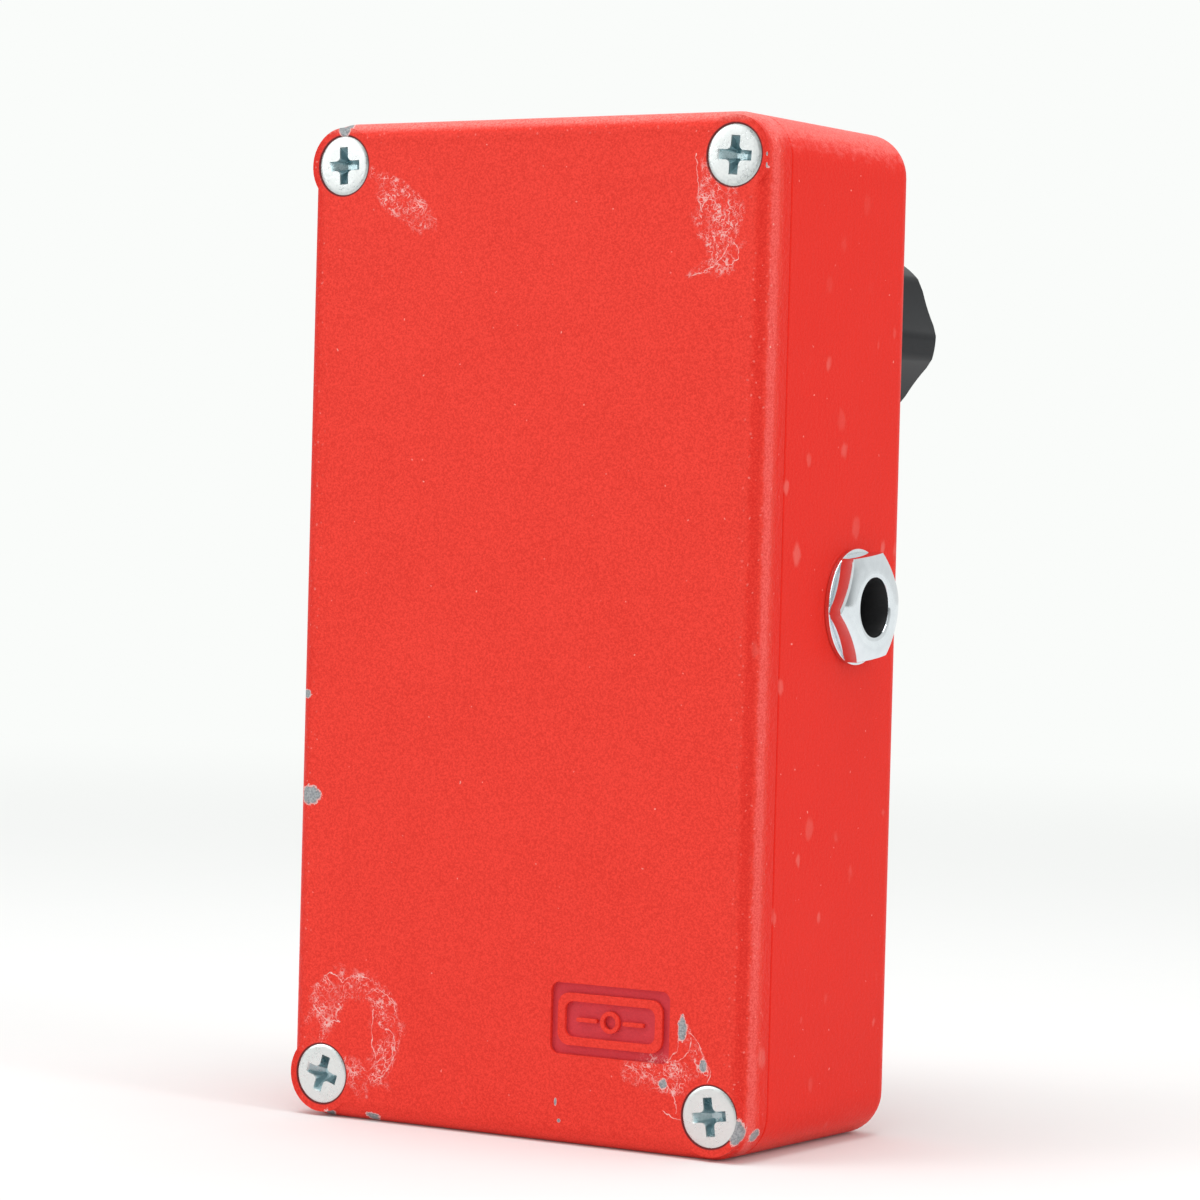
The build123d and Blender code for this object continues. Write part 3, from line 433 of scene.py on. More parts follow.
scuffs = (
    # centre, reach, lean, hollow
    ((-23.7, 16.0, 101.2), (2.9, 2.0, 6.9), -0.12, 0.0),
    ((-23.7, 16.0, 96.2), (0.9, 2.0, 3.6), 1.09, 0.0),
    ((17.3, 16.0, 102.9), (1.9, 2.0, 6.0), -0.95, 0.0),
    ((21.1, 16.0, 9.7), (6.2, 2.0, 7.0), 0.1, 0.5),
    ((24.9, 16.0, 12.6), (2.3, 2.0, 3.2), 0.0, 0.0),
    ((20.6, 16.0, 15.0), (3.6, 2.0, 1.6), 0.1, 0.0),
    ((16.9, 16.0, 12.9), (1.8, 2.0, 2.8), -0.4, 0.0),
    ((17.4, 16.0, 6.9), (1.9, 2.0, 3.2), 0.5, 0.0),
    ((21.5, 16.0, 5.6), (2.4, 2.0, 1.6), 0.0, 0.0),
    ((-18.9, 16.0, 8.9), (5.0, 2.0, 2.2), 0.05, 0.0),
    ((-23.3, 16.0, 12.0), (0.9, 2.0, 3.4), -0.55, 0.0),
)
scratch_width = 0.062
scratches = (
    # three places along each scratch on the cover face, across and up
    ((-20.6, 94.5), (-23.2, 95.4), (-25.1, 97.7)),
    ((-24.3, 96.1), (-26.0, 95.9), (-25.5, 97.8)),
    ((-20.8, 107.4), (-21.1, 103.8), (-21.7, 100.6)),
    ((-21.8, 101.2), (-22.6, 102.6), (-23.4, 101.3)),
    ((-22.7, 13.7), (-24.1, 12.4), (-24.7, 10.7)),
    ((-24.7, 10.7), (-25.4, 9.6), (-25.2, 8.4)),
    ((-23.0, 13.2), (-22.6, 11.5), (-20.0, 10.3)),
    ((-21.5, 13.3), (-21.3, 11.7), (-19.8, 10.2)),
    ((-20.1, 7.6), (-21.2, 6.3), (-21.3, 4.7)),
    ((-19.7, 4.9), (-20.9, 4.3), (-22.1, 4.1)),
    ((-14.9, 9.4), (-16.1, 9.0), (-17.2, 8.0)),
    ((25.4, 15.7), (24.2, 16.2), (22.9, 15.3)),
    ((22.9, 15.3), (21.4, 16.3), (18.9, 15.9)),
    ((18.4, 12.6), (18.7, 10.4), (18.1, 7.2)),
    ((17.0, 10.6), (15.7, 9.9), (15.5, 8.5)),
    ((15.3, 8.3), (16.1, 6.5), (17.9, 4.9)),
    ((26.9, 12.6), (25.9, 11.5), (23.1, 10.9)),
    ((18.8, 14.9), (16.4, 14.2), (15.4, 12.6)),
)


def arc_through(first, middle, last):
    """The circle through three places, and which way and how far round it they reach."""
    a, b, c = Vector(first), Vector(middle), Vector(last)
    twice_area = 2 * (a.x * (b.y - c.y) + b.x * (c.y - a.y) + c.x * (a.y - b.y))
    along_x = a.dot(a) * (b.y - c.y) + b.dot(b) * (c.y - a.y) + c.dot(c) * (a.y - b.y)
    along_z = a.dot(a) * (c.x - b.x) + b.dot(b) * (a.x - c.x) + c.dot(c) * (b.x - a.x)
    centre = Vector((along_x, along_z)) / twice_area
    start = (a - centre).normalized()
    toward = (start + (c - centre).normalized()).normalized()
    if toward.dot(b - centre) < 0:
        toward.negate()
    return centre, (a - centre).length, toward, toward.dot(start)


wall_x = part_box("enclosure")[1].x / MM
cover_y = cad_high.y / MM
top_z = cad_high.z / MM
middle_z = (cad_low.z + cad_high.z) / 2 / MM

recess_x = -12.7
recess_z = 13.8
recess_half_width = 7.6
recess_half_height = 3.9
recess_blur = 0.2
screw_shadow_radius = 3.5
screw_shadow_blur = 0.12


class CastingPlace:
    """Where a point of the casting lies, in millimetres, and the grit of the coat there."""

    def __init__(self, tree):
        self.where = tree.millimetres()
        axes = tree.add("ShaderNodeSeparateXYZ", {"Vector": self.where}).outputs
        self.x = axes["X"]
        self.y = axes["Y"]
        self.z = axes["Z"]
        self.across = tree.math("ABSOLUTE", self.x)
        self.grit = tree.fade(tree.noise(self.where, 4.6, 3.0, 0.75), 0.32, 0.68)
        self.wall = tree.fade(self.across, wall_x - 1.4, wall_x - 0.4)
        near_cover = tree.fade(self.y, cover_y - 5.0, cover_y - 2.5)
        side_edge = tree.product(tree.fade(self.across, wall_x - 3.4, wall_x - 1.4), near_cover)
        top_edge = tree.product(tree.fade(self.z, top_z - 3.0, top_z - 1.0), near_cover)
        self.cover_edges = tree.math("MAXIMUM", side_edge, top_edge)


def corner_shade_and_highlight(tree, at, coat):
    """Painted light round the upright corner: a darker band of painted shade, a pale lumpy ridge of painted
    highlight, and the wall past them painted a deeper red as shade.
    """
    lumpy = tree.math("SUBTRACT", tree.noise(at.where, 1.1, 3.0, 0.65), 0.5)
    around = tree.math("MULTIPLY_ADD", lumpy, 1.3, tree.math("SUBTRACT", at.across, at.y))
    # painted shade: past the corner the side wall is made a deeper, less pink red
    wall_shade = tree.product(at.wall, tree.fade(around, 16.4, 17.2))
    coat = tree.blend(tree.product(wall_shade, 0.6), coat, (0.78, 0.010, 0.003, 1.0))
    at_side = tree.fade(at.across, wall_x - 4.5, wall_x - 3.0)
    # painted shade: a darker band along the rounded corner
    band = tree.product(tree.stripe(around, (12.0, 12.9), (13.7, 14.3)), at_side)
    band = tree.product(band, tree.fade(at.grit, 0.0, 1.0, 0.85, 0.35))
    coat = tree.blend(band, coat, (0.68, 0.026, 0.018, 1.0))
    # painted highlight: a pale lumpy ridge next to the band, where the corner catches the side light
    ridge_highlight = tree.product(tree.stripe(around, (14.2, 14.9), (15.6, 16.4)), at_side)
    ridge_highlight = tree.product(ridge_highlight, tree.fade(at.grit, 0.0, 1.0, 0.25, 0.75))
    return tree.blend(ridge_highlight, coat, (0.91, 0.155, 0.14, 1.0))


def wall_glint_blotches(tree, at):
    """Faint upright blotches of painted highlight on the lower part of the walls."""
    lower = tree.fade(at.z, top_z - 12.0, top_z - 34.0, 0.25, 1.0)
    values = {"Spacing": 4.4, "Radius": 0.95, "Share": 0.42, "Stretch": (1.0, 1.0, 1.5)}
    return tree.product(tree.place(flecks, values)["Mask"], tree.product(at.wall, lower))


def pale_specks(tree, at, coat):
    """Specks all over, and closer ones along the cover's edges, partly wear and partly painted glints."""
    specks = tree.place(flecks, {"Spacing": 1.5, "Radius": 0.13, "Share": 0.2})["Mask"]
    coat = tree.blend(tree.product(specks, 0.8), coat, (0.92, 0.45, 0.40, 1.0))
    # partly wear and partly painted glints: pale specks closer together along the cover's edges
    worn_and_glint_specks = tree.place(flecks, {"Spacing": 0.62, "Radius": 0.16, "Share": 0.5})["Mask"]
    return tree.blend(tree.product(worn_and_glint_specks, at.cover_edges, 0.4), coat, (0.90, 0.42, 0.38, 1.0))


def crest_and_shoulder_highlight(tree, at, coat):
    """Painted highlight, pale along the top: the cover's edge, then the round above each wall."""
    crest_highlight = tree.fade(at.z, top_z - 1.4, top_z - 0.5)
    crest_highlight = tree.product(crest_highlight, tree.fade(at.y, cover_y - 3.4, cover_y - 1.8))
    crest_highlight = tree.product(crest_highlight, tree.fade(at.grit, 0.1, 0.8, 0.25, 0.7))
    # painted highlight: the cover's top edge lifted to a pale pink
    coat = tree.blend(crest_highlight, coat, (0.94, 0.30, 0.27, 1.0))
    strokes = tree.noise(tree.vector("MULTIPLY", at.where, (1.0, 0.5, 1.2)), 1.3, 3.0, 0.65)
    uneven_height = tree.math("MULTIPLY_ADD", strokes, 5.0, at.z)
    above_wall = tree.fade(at.across, wall_x - 7.5, wall_x - 4.5)
    shoulder_highlight = tree.product(above_wall, tree.fade(uneven_height, top_z - 1.6, top_z + 1.2))
    shoulder_highlight = tree.product(shoulder_highlight, tree.fade(at.y, cover_y - 0.4, cover_y - 1.0))
    shoulder_highlight = tree.product(shoulder_highlight, tree.fade(at.grit, 0.1, 0.8, 0.22, 0.6))
    # painted highlight: the round above each wall lifted to a pale pink
    return tree.blend(shoulder_highlight, coat, (0.93, 0.24, 0.22, 1.0))


def recess_floor_tint(tree, at, coat):
    """A darker, bluer red on the floor of the framed recess, but not on the frame and ring that stand in it.
    """
    inside_x = tree.within(at.x, recess_x, recess_half_width, recess_blur)
    inside_z = tree.within(at.z, recess_z, recess_half_height, recess_blur)
    below_face = tree.stripe(at.y, (cover_y - 0.8, cover_y - 0.65), (cover_y - 0.44, cover_y - 0.36))
    recess_floor_mask = tree.product(inside_x, inside_z, below_face, 0.65)
    return tree.blend(recess_floor_mask, coat, (0.58, 0.058, 0.090, 1.0))


def cover_marks(tree, at):
    """Scuffed patches and long scratches, on the cover face only."""
    tangles = []
    for centre, reach, lean, hollow in scuffs:
        values = {"Centre": centre, "Reach": reach, "Lean": lean, "Hollow": hollow}
        tangles.append(tree.place(scuff_tangle, values)["Mask"])
    lines = []
    for places in scratches:
        centre, radius, toward, spread = arc_through(*places)
        values = {
            "Centre": (centre.x, 0.0, centre.y),
            "Radius": radius,
            "Toward": (toward.x, 0.0, toward.y),
            "Spread": spread,
            "Width": scratch_width,
        }
        lines.append(tree.place(long_scratch, values)["Mask"])
    marks = tree.math("MAXIMUM", add_mask(tree, tangles, 0.72), add_mask(tree, lines, 0.8))
    return tree.product(marks, tree.fade(at.y, cover_y - 1.0, cover_y - 0.6))


def screw_gap_shadows(tree, at, coat):
    """The painted shadow in the countersink gap round each cover screw: a dark ring."""
    far_x = tree.math("SUBTRACT", at.across, screw_offset_x)
    from_middle = tree.math("ABSOLUTE", tree.math("SUBTRACT", at.z, middle_z))
    far_z = tree.math("SUBTRACT", from_middle, screw_offset_z)
    squared = tree.math("MULTIPLY_ADD", far_x, far_x, tree.math("MULTIPLY", far_z, far_z))
    near_screw = tree.within(tree.math("SQRT", squared), 0.0, screw_shadow_radius, screw_shadow_blur)
    gap_shadow = tree.product(near_screw, tree.fade(at.y, cover_y - 4.5, cover_y - 4.0), 0.85)
    # painted shadow: a near-black ring in the gap round each screw
    return tree.blend(gap_shadow, coat, (0.045, 0.022, 0.026, 1.0))


def red_powder_coat():
    """Satin red powder coat: orange peel, pale specks, scuffs, and chips down to the bare casting."""
    constants = {"Specular_IOR_Level": 0.05, "Coat_Weight": 0.05, "Coat_Roughness": 0.3}
    material, tree, shader = finish("red powder coat", 0.4, **constants)
    at = CastingPlace(tree)
    broad = tree.noise(at.where, 0.12, 2.0, 0.5)
    shade = tree.math("ADD", tree.product(at.grit, 0.75), tree.product(broad, 0.25))
    coat = tree.blend(shade, (0.69, 0.034, 0.022, 1.0), (0.92, 0.066, 0.047, 1.0))
    coat = corner_shade_and_highlight(tree, at, coat)
    glint_blotches = wall_glint_blotches(tree, at)
    # painted highlight: the blotches lifted to a pale pink
    coat = tree.blend(tree.product(glint_blotches, 0.5), coat, (0.86, 0.20, 0.17, 1.0))
    coat = pale_specks(tree, at, coat)
    coat = crest_and_shoulder_highlight(tree, at, coat)
    coat = recess_floor_tint(tree, at, coat)
    scuffed = cover_marks(tree, at)
    coat = tree.blend(scuffed, coat, (0.90, 0.64, 0.61, 1.0))
    coat = screw_gap_shadows(tree, at, coat)

    bare = []
    rims = []
    for centre, reach, ragged in coat_chips:
        chip = tree.place(coat_chip, {"Centre": centre, "Reach": reach, "Ragged": ragged})
        bare.append(chip["Bare"])
        rims.append(chip["Rim"])
    bare_metal = add_mask(tree, bare)
    coat = tree.blend(add_mask(tree, rims, 0.75), coat, (0.84, 0.62, 0.60, 1.0))
    metal = tree.blend(at.grit, (0.22, 0.235, 0.25, 1.0), (0.44, 0.46, 0.475, 1.0))
    tree.feed(shader.inputs["Base Color"], tree.blend(bare_metal, coat, metal))

    pimples = tree.noise(at.where, 4.4, 2.0, 0.6)
    rough = tree.fade(pimples, 0.2, 0.8, 0.32, 0.48)
    tree.feed(shader.inputs["Roughness"], tree.math("MULTIPLY_ADD", scuffed, 0.2, rough))
    tree.feed(shader.inputs["Metallic"], tree.product(bare_metal, 0.35))

    height = tree.math("MULTIPLY_ADD", pimples, 0.4, tree.noise(at.where, 1.7, 2.0, 0.55))
    height = tree.product(height, tree.math("MULTIPLY_ADD", at.cover_edges, 1.2, 1.0))
    lumps = tree.product(tree.noise(at.where, 0.95, 2.0), at.cover_edges)
    height = tree.math("MULTIPLY_ADD", lumps, 2.6, height)
    height = tree.math("MULTIPLY_ADD", glint_blotches, 0.5, height)
    height = tree.math("MULTIPLY_ADD", bare_metal, -1.4, height)
    relief(tree, shader, height, 0.055)
    return material


def zinc_screw():
    """Bright zinc on the cover screws, bluer and duller down in the driver recess."""
    material, tree, shader = finish("bright zinc screw", 0.3, 1.0)
    where = tree.millimetres()
    axes = tree.add("ShaderNodeSeparateXYZ", {"Vector": where}).outputs
    out = tree.place(fine_grain, {"Size": 0.3, "Contrast": 1.3})
    spots = tree.place(flecks, {"Spacing": 0.9, "Radius": 0.12, "Share": 0.35})["Mask"]
    plate = tree.blend(out["Shade"], (0.50, 0.53, 0.53, 1.0), (0.66, 0.68, 0.67, 1.0))
    # lighter towards the bottom: the lower screws take a paler plate
    lighter_lower_down = tree.fade(axes["Z"], 80.0, 30.0, 0.0, 0.6)
    plate = tree.blend(lighter_lower_down, plate, (0.84, 0.88, 0.87, 1.0))
    plate = tree.blend(tree.math("MULTIPLY", spots, 0.5), plate, (0.25, 0.27, 0.26, 1.0))
    deep = tree.fade(axes["Y"], cover_y - 0.07, cover_y - 0.3)
    cut = tree.blend(out["Shade"], (0.34, 0.47, 0.50, 1.0), (0.60, 0.72, 0.75, 1.0))
    tree.feed(shader.inputs["Base Color"], tree.blend(deep, plate, cut))
    tree.feed(shader.inputs["Roughness"], tree.fade(out["Shade"], 0.0, 1.0, 0.24, 0.42))
    relief(tree, shader, tree.math("MULTIPLY_ADD", spots, -0.6, out["Relief"]), 0.012)
    return material


def red_lens_resin():
    material, tree, shader = finish("red lens resin", 0.12, Transmission_Weight=0.55, IOR=1.5)
    out = tree.place(fine_grain, {"Size": 0.6, "Contrast": 0.7})
    colour = tree.blend(out["Shade"], (0.42, 0.005, 0.008, 1.0), (0.60, 0.015, 0.015, 1.0))
    tree.feed(shader.inputs["Base Color"], colour)
    tree.feed(shader.inputs["Roughness"], tree.fade(out["Shade"], 0.0, 1.0, 0.08, 0.18))
    relief(tree, shader, out["Relief"], 0.004)
    return material


def board_laminate():
    """Green solder resist, with lighter copper tracks showing under it."""
    material, tree, shader = finish("green board laminate", 0.35)
    where = tree.millimetres()
    sockets = {"Vector": tree.vector("MULTIPLY", where, (1.0, 0.0, 1.0)), "Scale": 0.42}
    cells = tree.add("ShaderNodeTexVoronoi", sockets, feature="DISTANCE_TO_EDGE")
    track = tree.fade(cells.outputs["Distance"], 0.12, 0.09)
    out = tree.place(fine_grain, {"Size": 0.4})
    resist = tree.blend(out["Shade"], (0.010, 0.085, 0.030, 1.0), (0.018, 0.13, 0.045, 1.0))
    over_copper = (0.045, 0.23, 0.08, 1.0)
    tree.feed(shader.inputs["Base Color"], tree.blend(track, resist, over_copper))
    tree.feed(shader.inputs["Roughness"], tree.fade(out["Shade"], 0.0, 1.0, 0.28, 0.42))
    relief(tree, shader, tree.math("MULTIPLY_ADD", out["Relief"], 0.2, track), 0.03)
    return material


def banded_resistor():
    """Buff lacquer with brown and red bands round it."""
    material, tree, shader = finish("banded resistor lacquer", 0.35)
    axes = tree.add("ShaderNodeSeparateXYZ", {"Vector": tree.millimetres()}).outputs
    along = tree.math("FRACT", tree.math("MULTIPLY", axes["X"], 0.62))
    out = tree.place(fine_grain, {"Size": 0.25})
    lacquer = tree.blend(out["Shade"], (0.44, 0.30, 0.16, 1.0), (0.58, 0.42, 0.25, 1.0))
    band = tree.stripe(along, (0.30, 0.34), (0.56, 0.60))
    tree.feed(shader.inputs["Base Color"], tree.blend(band, lacquer, (0.20, 0.035, 0.02, 1.0)))
    tree.feed(shader.inputs["Roughness"], tree.fade(out["Shade"], 0.0, 1.0, 0.28, 0.45))
    relief(tree, shader, out["Relief"], 0.01)
    return material


def battery_can():
    """A lacquered steel can: dark below, a pale band at the terminal end."""
    material, tree, shader = finish("lacquered battery can", 0.3)
    axes = tree.add("ShaderNodeSeparateXYZ", {"Vector": tree.millimetres()}).outputs
    out = tree.place(fine_grain, {"Size": 0.8, "Stretch": (4.0, 1.0, 1.0)})
    dark = tree.blend(out["Shade"], (0.018, 0.020, 0.026, 1.0), (0.040, 0.044, 0.055, 1.0))
    pale = tree.blend(out["Shade"], (0.42, 0.33, 0.12, 1.0), (0.52, 0.42, 0.17, 1.0))
    low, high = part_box("battery")
    edge = (high.x - 0.3 * (high.x - low.x)) / MM
    band = tree.fade(axes["X"], edge, edge + 0.2)
    tree.feed(shader.inputs["Base Color"], tree.blend(band, dark, pale))
    tree.feed(shader.inputs["Roughness"], tree.fade(out["Shade"], 0.0, 1.0, 0.22, 0.36))
    relief(tree, shader, out["Relief"], 0.01)
    return material


def foam():
    material, tree, shader = finish("grey foam", 0.95)
    out = tree.place(fine_grain, {"Size": 0.5})
    pores = tree.place(flecks, {"Spacing": 0.7, "Radius": 0.3, "Share": 0.8})["Mask"]
    colour = tree.blend(out["Shade"], (0.05, 0.05, 0.052, 1.0), (0.11, 0.11, 0.115, 1.0))
    tree.feed(shader.inputs["Base Color"], tree.blend(pores, colour, (0.012, 0.012, 0.012, 1.0)))
    tree.feed(shader.inputs["Roughness"], tree.fade(out["Shade"], 0.0, 1.0, 0.85, 1.0))
    relief(tree, shader, tree.math("MULTIPLY_ADD", pores, -1.0, out["Relief"]), 0.2)
    return material


ALONG_Y = (1.0, 12.0, 1.0)
finishes = {
    "red_coated_casting": red_powder_coat(),
    "bright_zinc": worked(
        "bright zinc plate", (0.46, 0.49, 0.50), (0.64, 0.66, 0.65), (0.22, 0.38), 0.35, 0.004, metallic=1.0
    ),
    "chrome_hardware": worked(
        "polished chrome", (0.70, 0.745, 0.785), (0.83, 0.875, 0.91), (0.04, 0.10), 1.2, 0.0006, metallic=1.0
    ),
    "black_knob": worked(
        "satin black knob", (0.005, 0.006, 0.008), (0.011, 0.012, 0.015), (0.13, 0.20), 0.5, 0.003,
        Specular_IOR_Level=0.12,
    ),
    "white_pointer": worked(
        "white pointer fill", (0.62, 0.61, 0.57), (0.80, 0.79, 0.75), (0.4, 0.55), 0.3, 0.01
    ),
    "blackened_steel": worked(
        "blackened steel", (0.020, 0.020, 0.022), (0.060, 0.060, 0.065), (0.35, 0.5), 0.25, 0.01, metallic=0.9
    ),
    "turned_aluminium": worked(
        "turned aluminium", (0.56, 0.56, 0.57), (0.74, 0.74, 0.74), (0.28, 0.42), 0.12, 0.006, ALONG_Y,
        metallic=1.0
    ),
    "tinned_steel": worked(
        "tinned steel", (0.50, 0.50, 0.49), (0.68, 0.68, 0.66), (0.3, 0.5), 0.5, 0.008, metallic=1.0
    ),
    "brown_laminate": worked(
        "brown paper laminate", (0.16, 0.075, 0.028), (0.26, 0.13, 0.055), (0.45, 0.6), 0.3, 0.02,
        (5.0, 1.0, 1.0)
    ),
    "black_moulding": worked(
        "black moulding", (0.010, 0.010, 0.011), (0.026, 0.026, 0.028), (0.42, 0.58), 0.22, 0.012
    ),
    "contact_metal": worked(
        "plated contact metal", (0.52, 0.48, 0.36), (0.70, 0.66, 0.52), (0.24, 0.36), 0.5, 0.004, metallic=1.0
    ),
    "red_lens": red_lens_resin(),
    "switch_moulding": worked(
        "blue switch moulding", (0.012, 0.050, 0.18), (0.022, 0.080, 0.26), (0.4, 0.55), 0.3, 0.012
    ),
    "green_board": board_laminate(),
    "capacitor_sleeve": worked(
        "capacitor sleeve", (0.010, 0.016, 0.045), (0.020, 0.030, 0.075), (0.22, 0.34), 0.8, 0.008
    ),
    "capacitor_box": worked(
        "capacitor box", (0.30, 0.030, 0.014), (0.42, 0.050, 0.026), (0.35, 0.5), 0.3, 0.012
    ),
    "resistor_lacquer": banded_resistor(),
    "trimmer_blue": worked(
        "blue trimmer moulding", (0.014, 0.060, 0.24), (0.026, 0.095, 0.33), (0.36, 0.5), 0.25, 0.01
    ),
    "trimmer_white": worked(
        "white trimmer moulding", (0.62, 0.61, 0.56), (0.78, 0.77, 0.72), (0.4, 0.55), 0.25, 0.01
    ),
    "battery_case": battery_can(),
    "grey_foam": foam(),
    "wire_cover": worked(
        "wire cover", (0.20, 0.010, 0.010), (0.34, 0.022, 0.020), (0.38, 0.52), 0.35, 0.01
    ),
}


node_slots = {part["node"]: part["material_slot"] for part in frame["record"]["subparts"]}


# ---- pieces

def add_piece(name, mesh, node, material=None):
    """A piece that stands for a CAD node, rides where it rides and takes its finish."""
    piece = bpy.data.objects.new(name, mesh)
    bpy.context.scene.collection.objects.link(piece)
    slot_name = node_slots[node]
    mesh.materials.append(material or finishes[slot_name])
    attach(piece, body_of(nodes[node])[0])
    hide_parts(node)
    return piece


crisp_angle = math.radians(32.0)
flat_within = math.radians(0.6)
weld_distance = 2e-6


def smooth_shaded(edit):
    """Smooth shading, with the edges that turn by more than crisp_angle kept crisp."""
    for face in edit.faces:
        face.smooth = True
    for edge in edit.edges:
        if len(edge.link_faces) == 2:
            edge.smooth = edge.calc_face_angle(0.0) < crisp_angle


def to_mesh(edit, name):
    bmesh.ops.recalc_face_normals(edit, faces=edit.faces)
    smooth_shaded(edit)
    mesh = bpy.data.meshes.new(name)
    edit.to_mesh(mesh)
    edit.free()
    return mesh


def with_modifiers(piece):
    """Gives the piece the mesh its modifiers make, and takes the modifiers off."""
    made = bpy.data.meshes.new_from_object(piece.evaluated_get(bpy.context.evaluated_depsgraph_get()))
    piece.modifiers.clear()
    piece.data = made


def eased(node, name, width_mm, segments=3):
    """A CAD piece with every sharp edge rounded over."""
    source = nodes[node]
    edit = bmesh.new()
    edit.from_mesh(source.data)
    bmesh.ops.transform(edit, matrix=source.matrix_world, verts=edit.verts)
    bmesh.ops.remove_doubles(edit, verts=edit.verts, dist=weld_distance)
    bmesh.ops.dissolve_limit(edit, angle_limit=flat_within, verts=edit.verts, edges=edit.edges)
    piece = add_piece(name, to_mesh(edit, name), node)
    bevel = piece.modifiers.new("eased_edges", "BEVEL")
    bevel.width = width_mm * MM
    bevel.segments = segments
    bevel.limit_method = "ANGLE"
    bevel.angle_limit = crisp_angle
    bevel.harden_normals = True
    bevel.use_clamp_overlap = True
    with_modifiers(piece)
    return piece


def ring_of(edit, points):
    return [edit.verts.new(point) for point in points]


def bridge(edit, first, second):
    """Quads between two closed rings of the same number of points."""
    count = len(first)
    for number in range(count):
        after = (number + 1) % count
        edit.faces.new((first[number], first[after], second[after], second[number]))


screw_head_radius = 3.35
screw_shank_radius = 1.7
screw_length = 12.0
cross_turns = (-8.0, 17.0, 4.0, -2.0)
head_profile = (
    # radius and depth below the cover face, from the rim inwards over the top, then down the cone and shank
    (2.95, 0.0),
    (3.18, 0.02),
    (3.30, 0.08),
    (3.35, 0.20),
    (3.28, 0.30),
    (1.78, 1.55),
    (1.7, 1.65),
)
thread_pitch = 0.8
thread_depth = 0.22
thread_starts_below_head = 0.4
point_length = 1.4
screw_facets = 64


def lathe(edit, centre, axis_point, profile, steps):
    """Rings round an axis. axis_point(radius, angle, along) gives a point; the ends are closed."""
    rings = []
    for radius, along in profile:
        points = []
        for step in range(steps):
            points.append(centre + axis_point(radius * MM, step * math.tau / steps, along * MM))
        rings.append(ring_of(edit, points))
    for first, second in zip(rings, rings[1:]):
        bridge(edit, first, second)
    edit.faces.new(rings[0])
    edit.faces.new(rings[-1])


def round_y(radius, angle, along):
    return Vector((radius * math.cos(angle), -along, radius * math.sin(angle)))


def screw_blank(edit, centre):
    profile = list(head_profile)
    depth = head_profile[-1][1] + thread_starts_below_head
    while depth < screw_length - point_length:
        profile.append((screw_shank_radius, depth))
        profile.append((screw_shank_radius - thread_depth, depth + thread_pitch / 2))
        depth += thread_pitch
    profile.append((screw_shank_radius - 0.1, depth))
    profile.append((screw_shank_radius - 0.7, screw_length))
    lathe(edit, centre, round_y, profile, screw_facets)


corner_points = 6


def cross_outline(span, width, corner):
    """One outline of a driver recess: four wings with hollow corners between them."""
    points = []
    for quarter in range(4):
        turn = Matrix.Rotation(quarter * math.pi / 2, 2)
        points.append(turn @ Vector((span, -width)))
        points.append(turn @ Vector((span, width)))
        for step in range(corner_points):
            angle = math.radians(270 - 90 * step / (corner_points - 1))
            curve = Vector((math.cos(angle), math.sin(angle))) * corner
            points.append(turn @ (Vector((width + corner, width + corner)) + curve))
    return points


cross_levels = (
    # depth, half span, half width, corner
    (-0.10, 2.16, 0.58, 0.56),
    (0.0, 2.10, 0.55, 0.52),
    (0.55, 1.80, 0.46, 0.34),
    (1.20, 1.15, 0.36, 0.20),
    (1.70, 0.62, 0.24, 0.10),
)


def cross_cutter(edit, centre, turn):
    spin = Matrix.Rotation(math.radians(turn), 2)
    rings = []
    for depth, span, width, corner in cross_levels:
        points = []
        for flat in cross_outline(span, width, corner):
            # seen from the cover side, +X is to the left, so a clockwise turn is a positive one here
            u, v = spin @ flat
            points.append(centre + Vector((u, -depth, v)) * MM)
        rings.append(ring_of(edit, points))
    for first, second in zip(rings, rings[1:]):
        bridge(edit, first, second)
    edit.faces.new(rings[0])
    edit.faces.new(rings[-1])


def cover_screws():
    """Four countersunk cross-head screws with tapered, winged driver recesses."""
    low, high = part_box("cover_screws")
    offset = high.x - screw_head_radius * MM
    heights = (low.z + screw_head_radius * MM, high.z - screw_head_radius * MM)
    places = [Vector((x, high.y, z)) for z in heights for x in (-offset, offset)]
    blanks = bmesh.new()
    cutters = bmesh.new()
    for place, turn in zip(places, cross_turns):
        screw_blank(blanks, place)
        cross_cutter(cutters, place, turn)
    piece = add_piece("cover_screw_set", to_mesh(blanks, "cover_screw_set"), "cover_screws", zinc_screw())
    cutter = bpy.data.objects.new("driver_recess_cutter", to_mesh(cutters, "driver_recess_cutter"))
    bpy.context.scene.collection.objects.link(cutter)
    cut = piece.modifiers.new("driver_recess", "BOOLEAN")
    cut.operation = "DIFFERENCE"
    cut.solver = "EXACT"
    cut.object = cutter
    with_modifiers(piece)
    bpy.data.objects.remove(cutter)
    edit = bmesh.new()
    edit.from_mesh(piece.data)
    smooth_shaded(edit)
    edit.to_mesh(piece.data)
    edit.free()


ferrule_flats = 11.4
ferrule_turn = 53.3
ferrule_bore = 3.25
ferrule_nut_high = 2.2
ferrule_barrel_radius = 4.4
ferrule_facets = 96
ferrule_face_rings = 9
flat_face_radius = 4.2
dome_fall = 0.12
bore_rounding = 0.24


def hex_reach(flats, angle, turn):
    """How far a hexagon's edge is from its middle in one direction."""
    off_flat = (angle - math.radians(turn)) % (math.pi / 3) - math.pi / 6
    return flats / 2 / math.cos(off_flat)


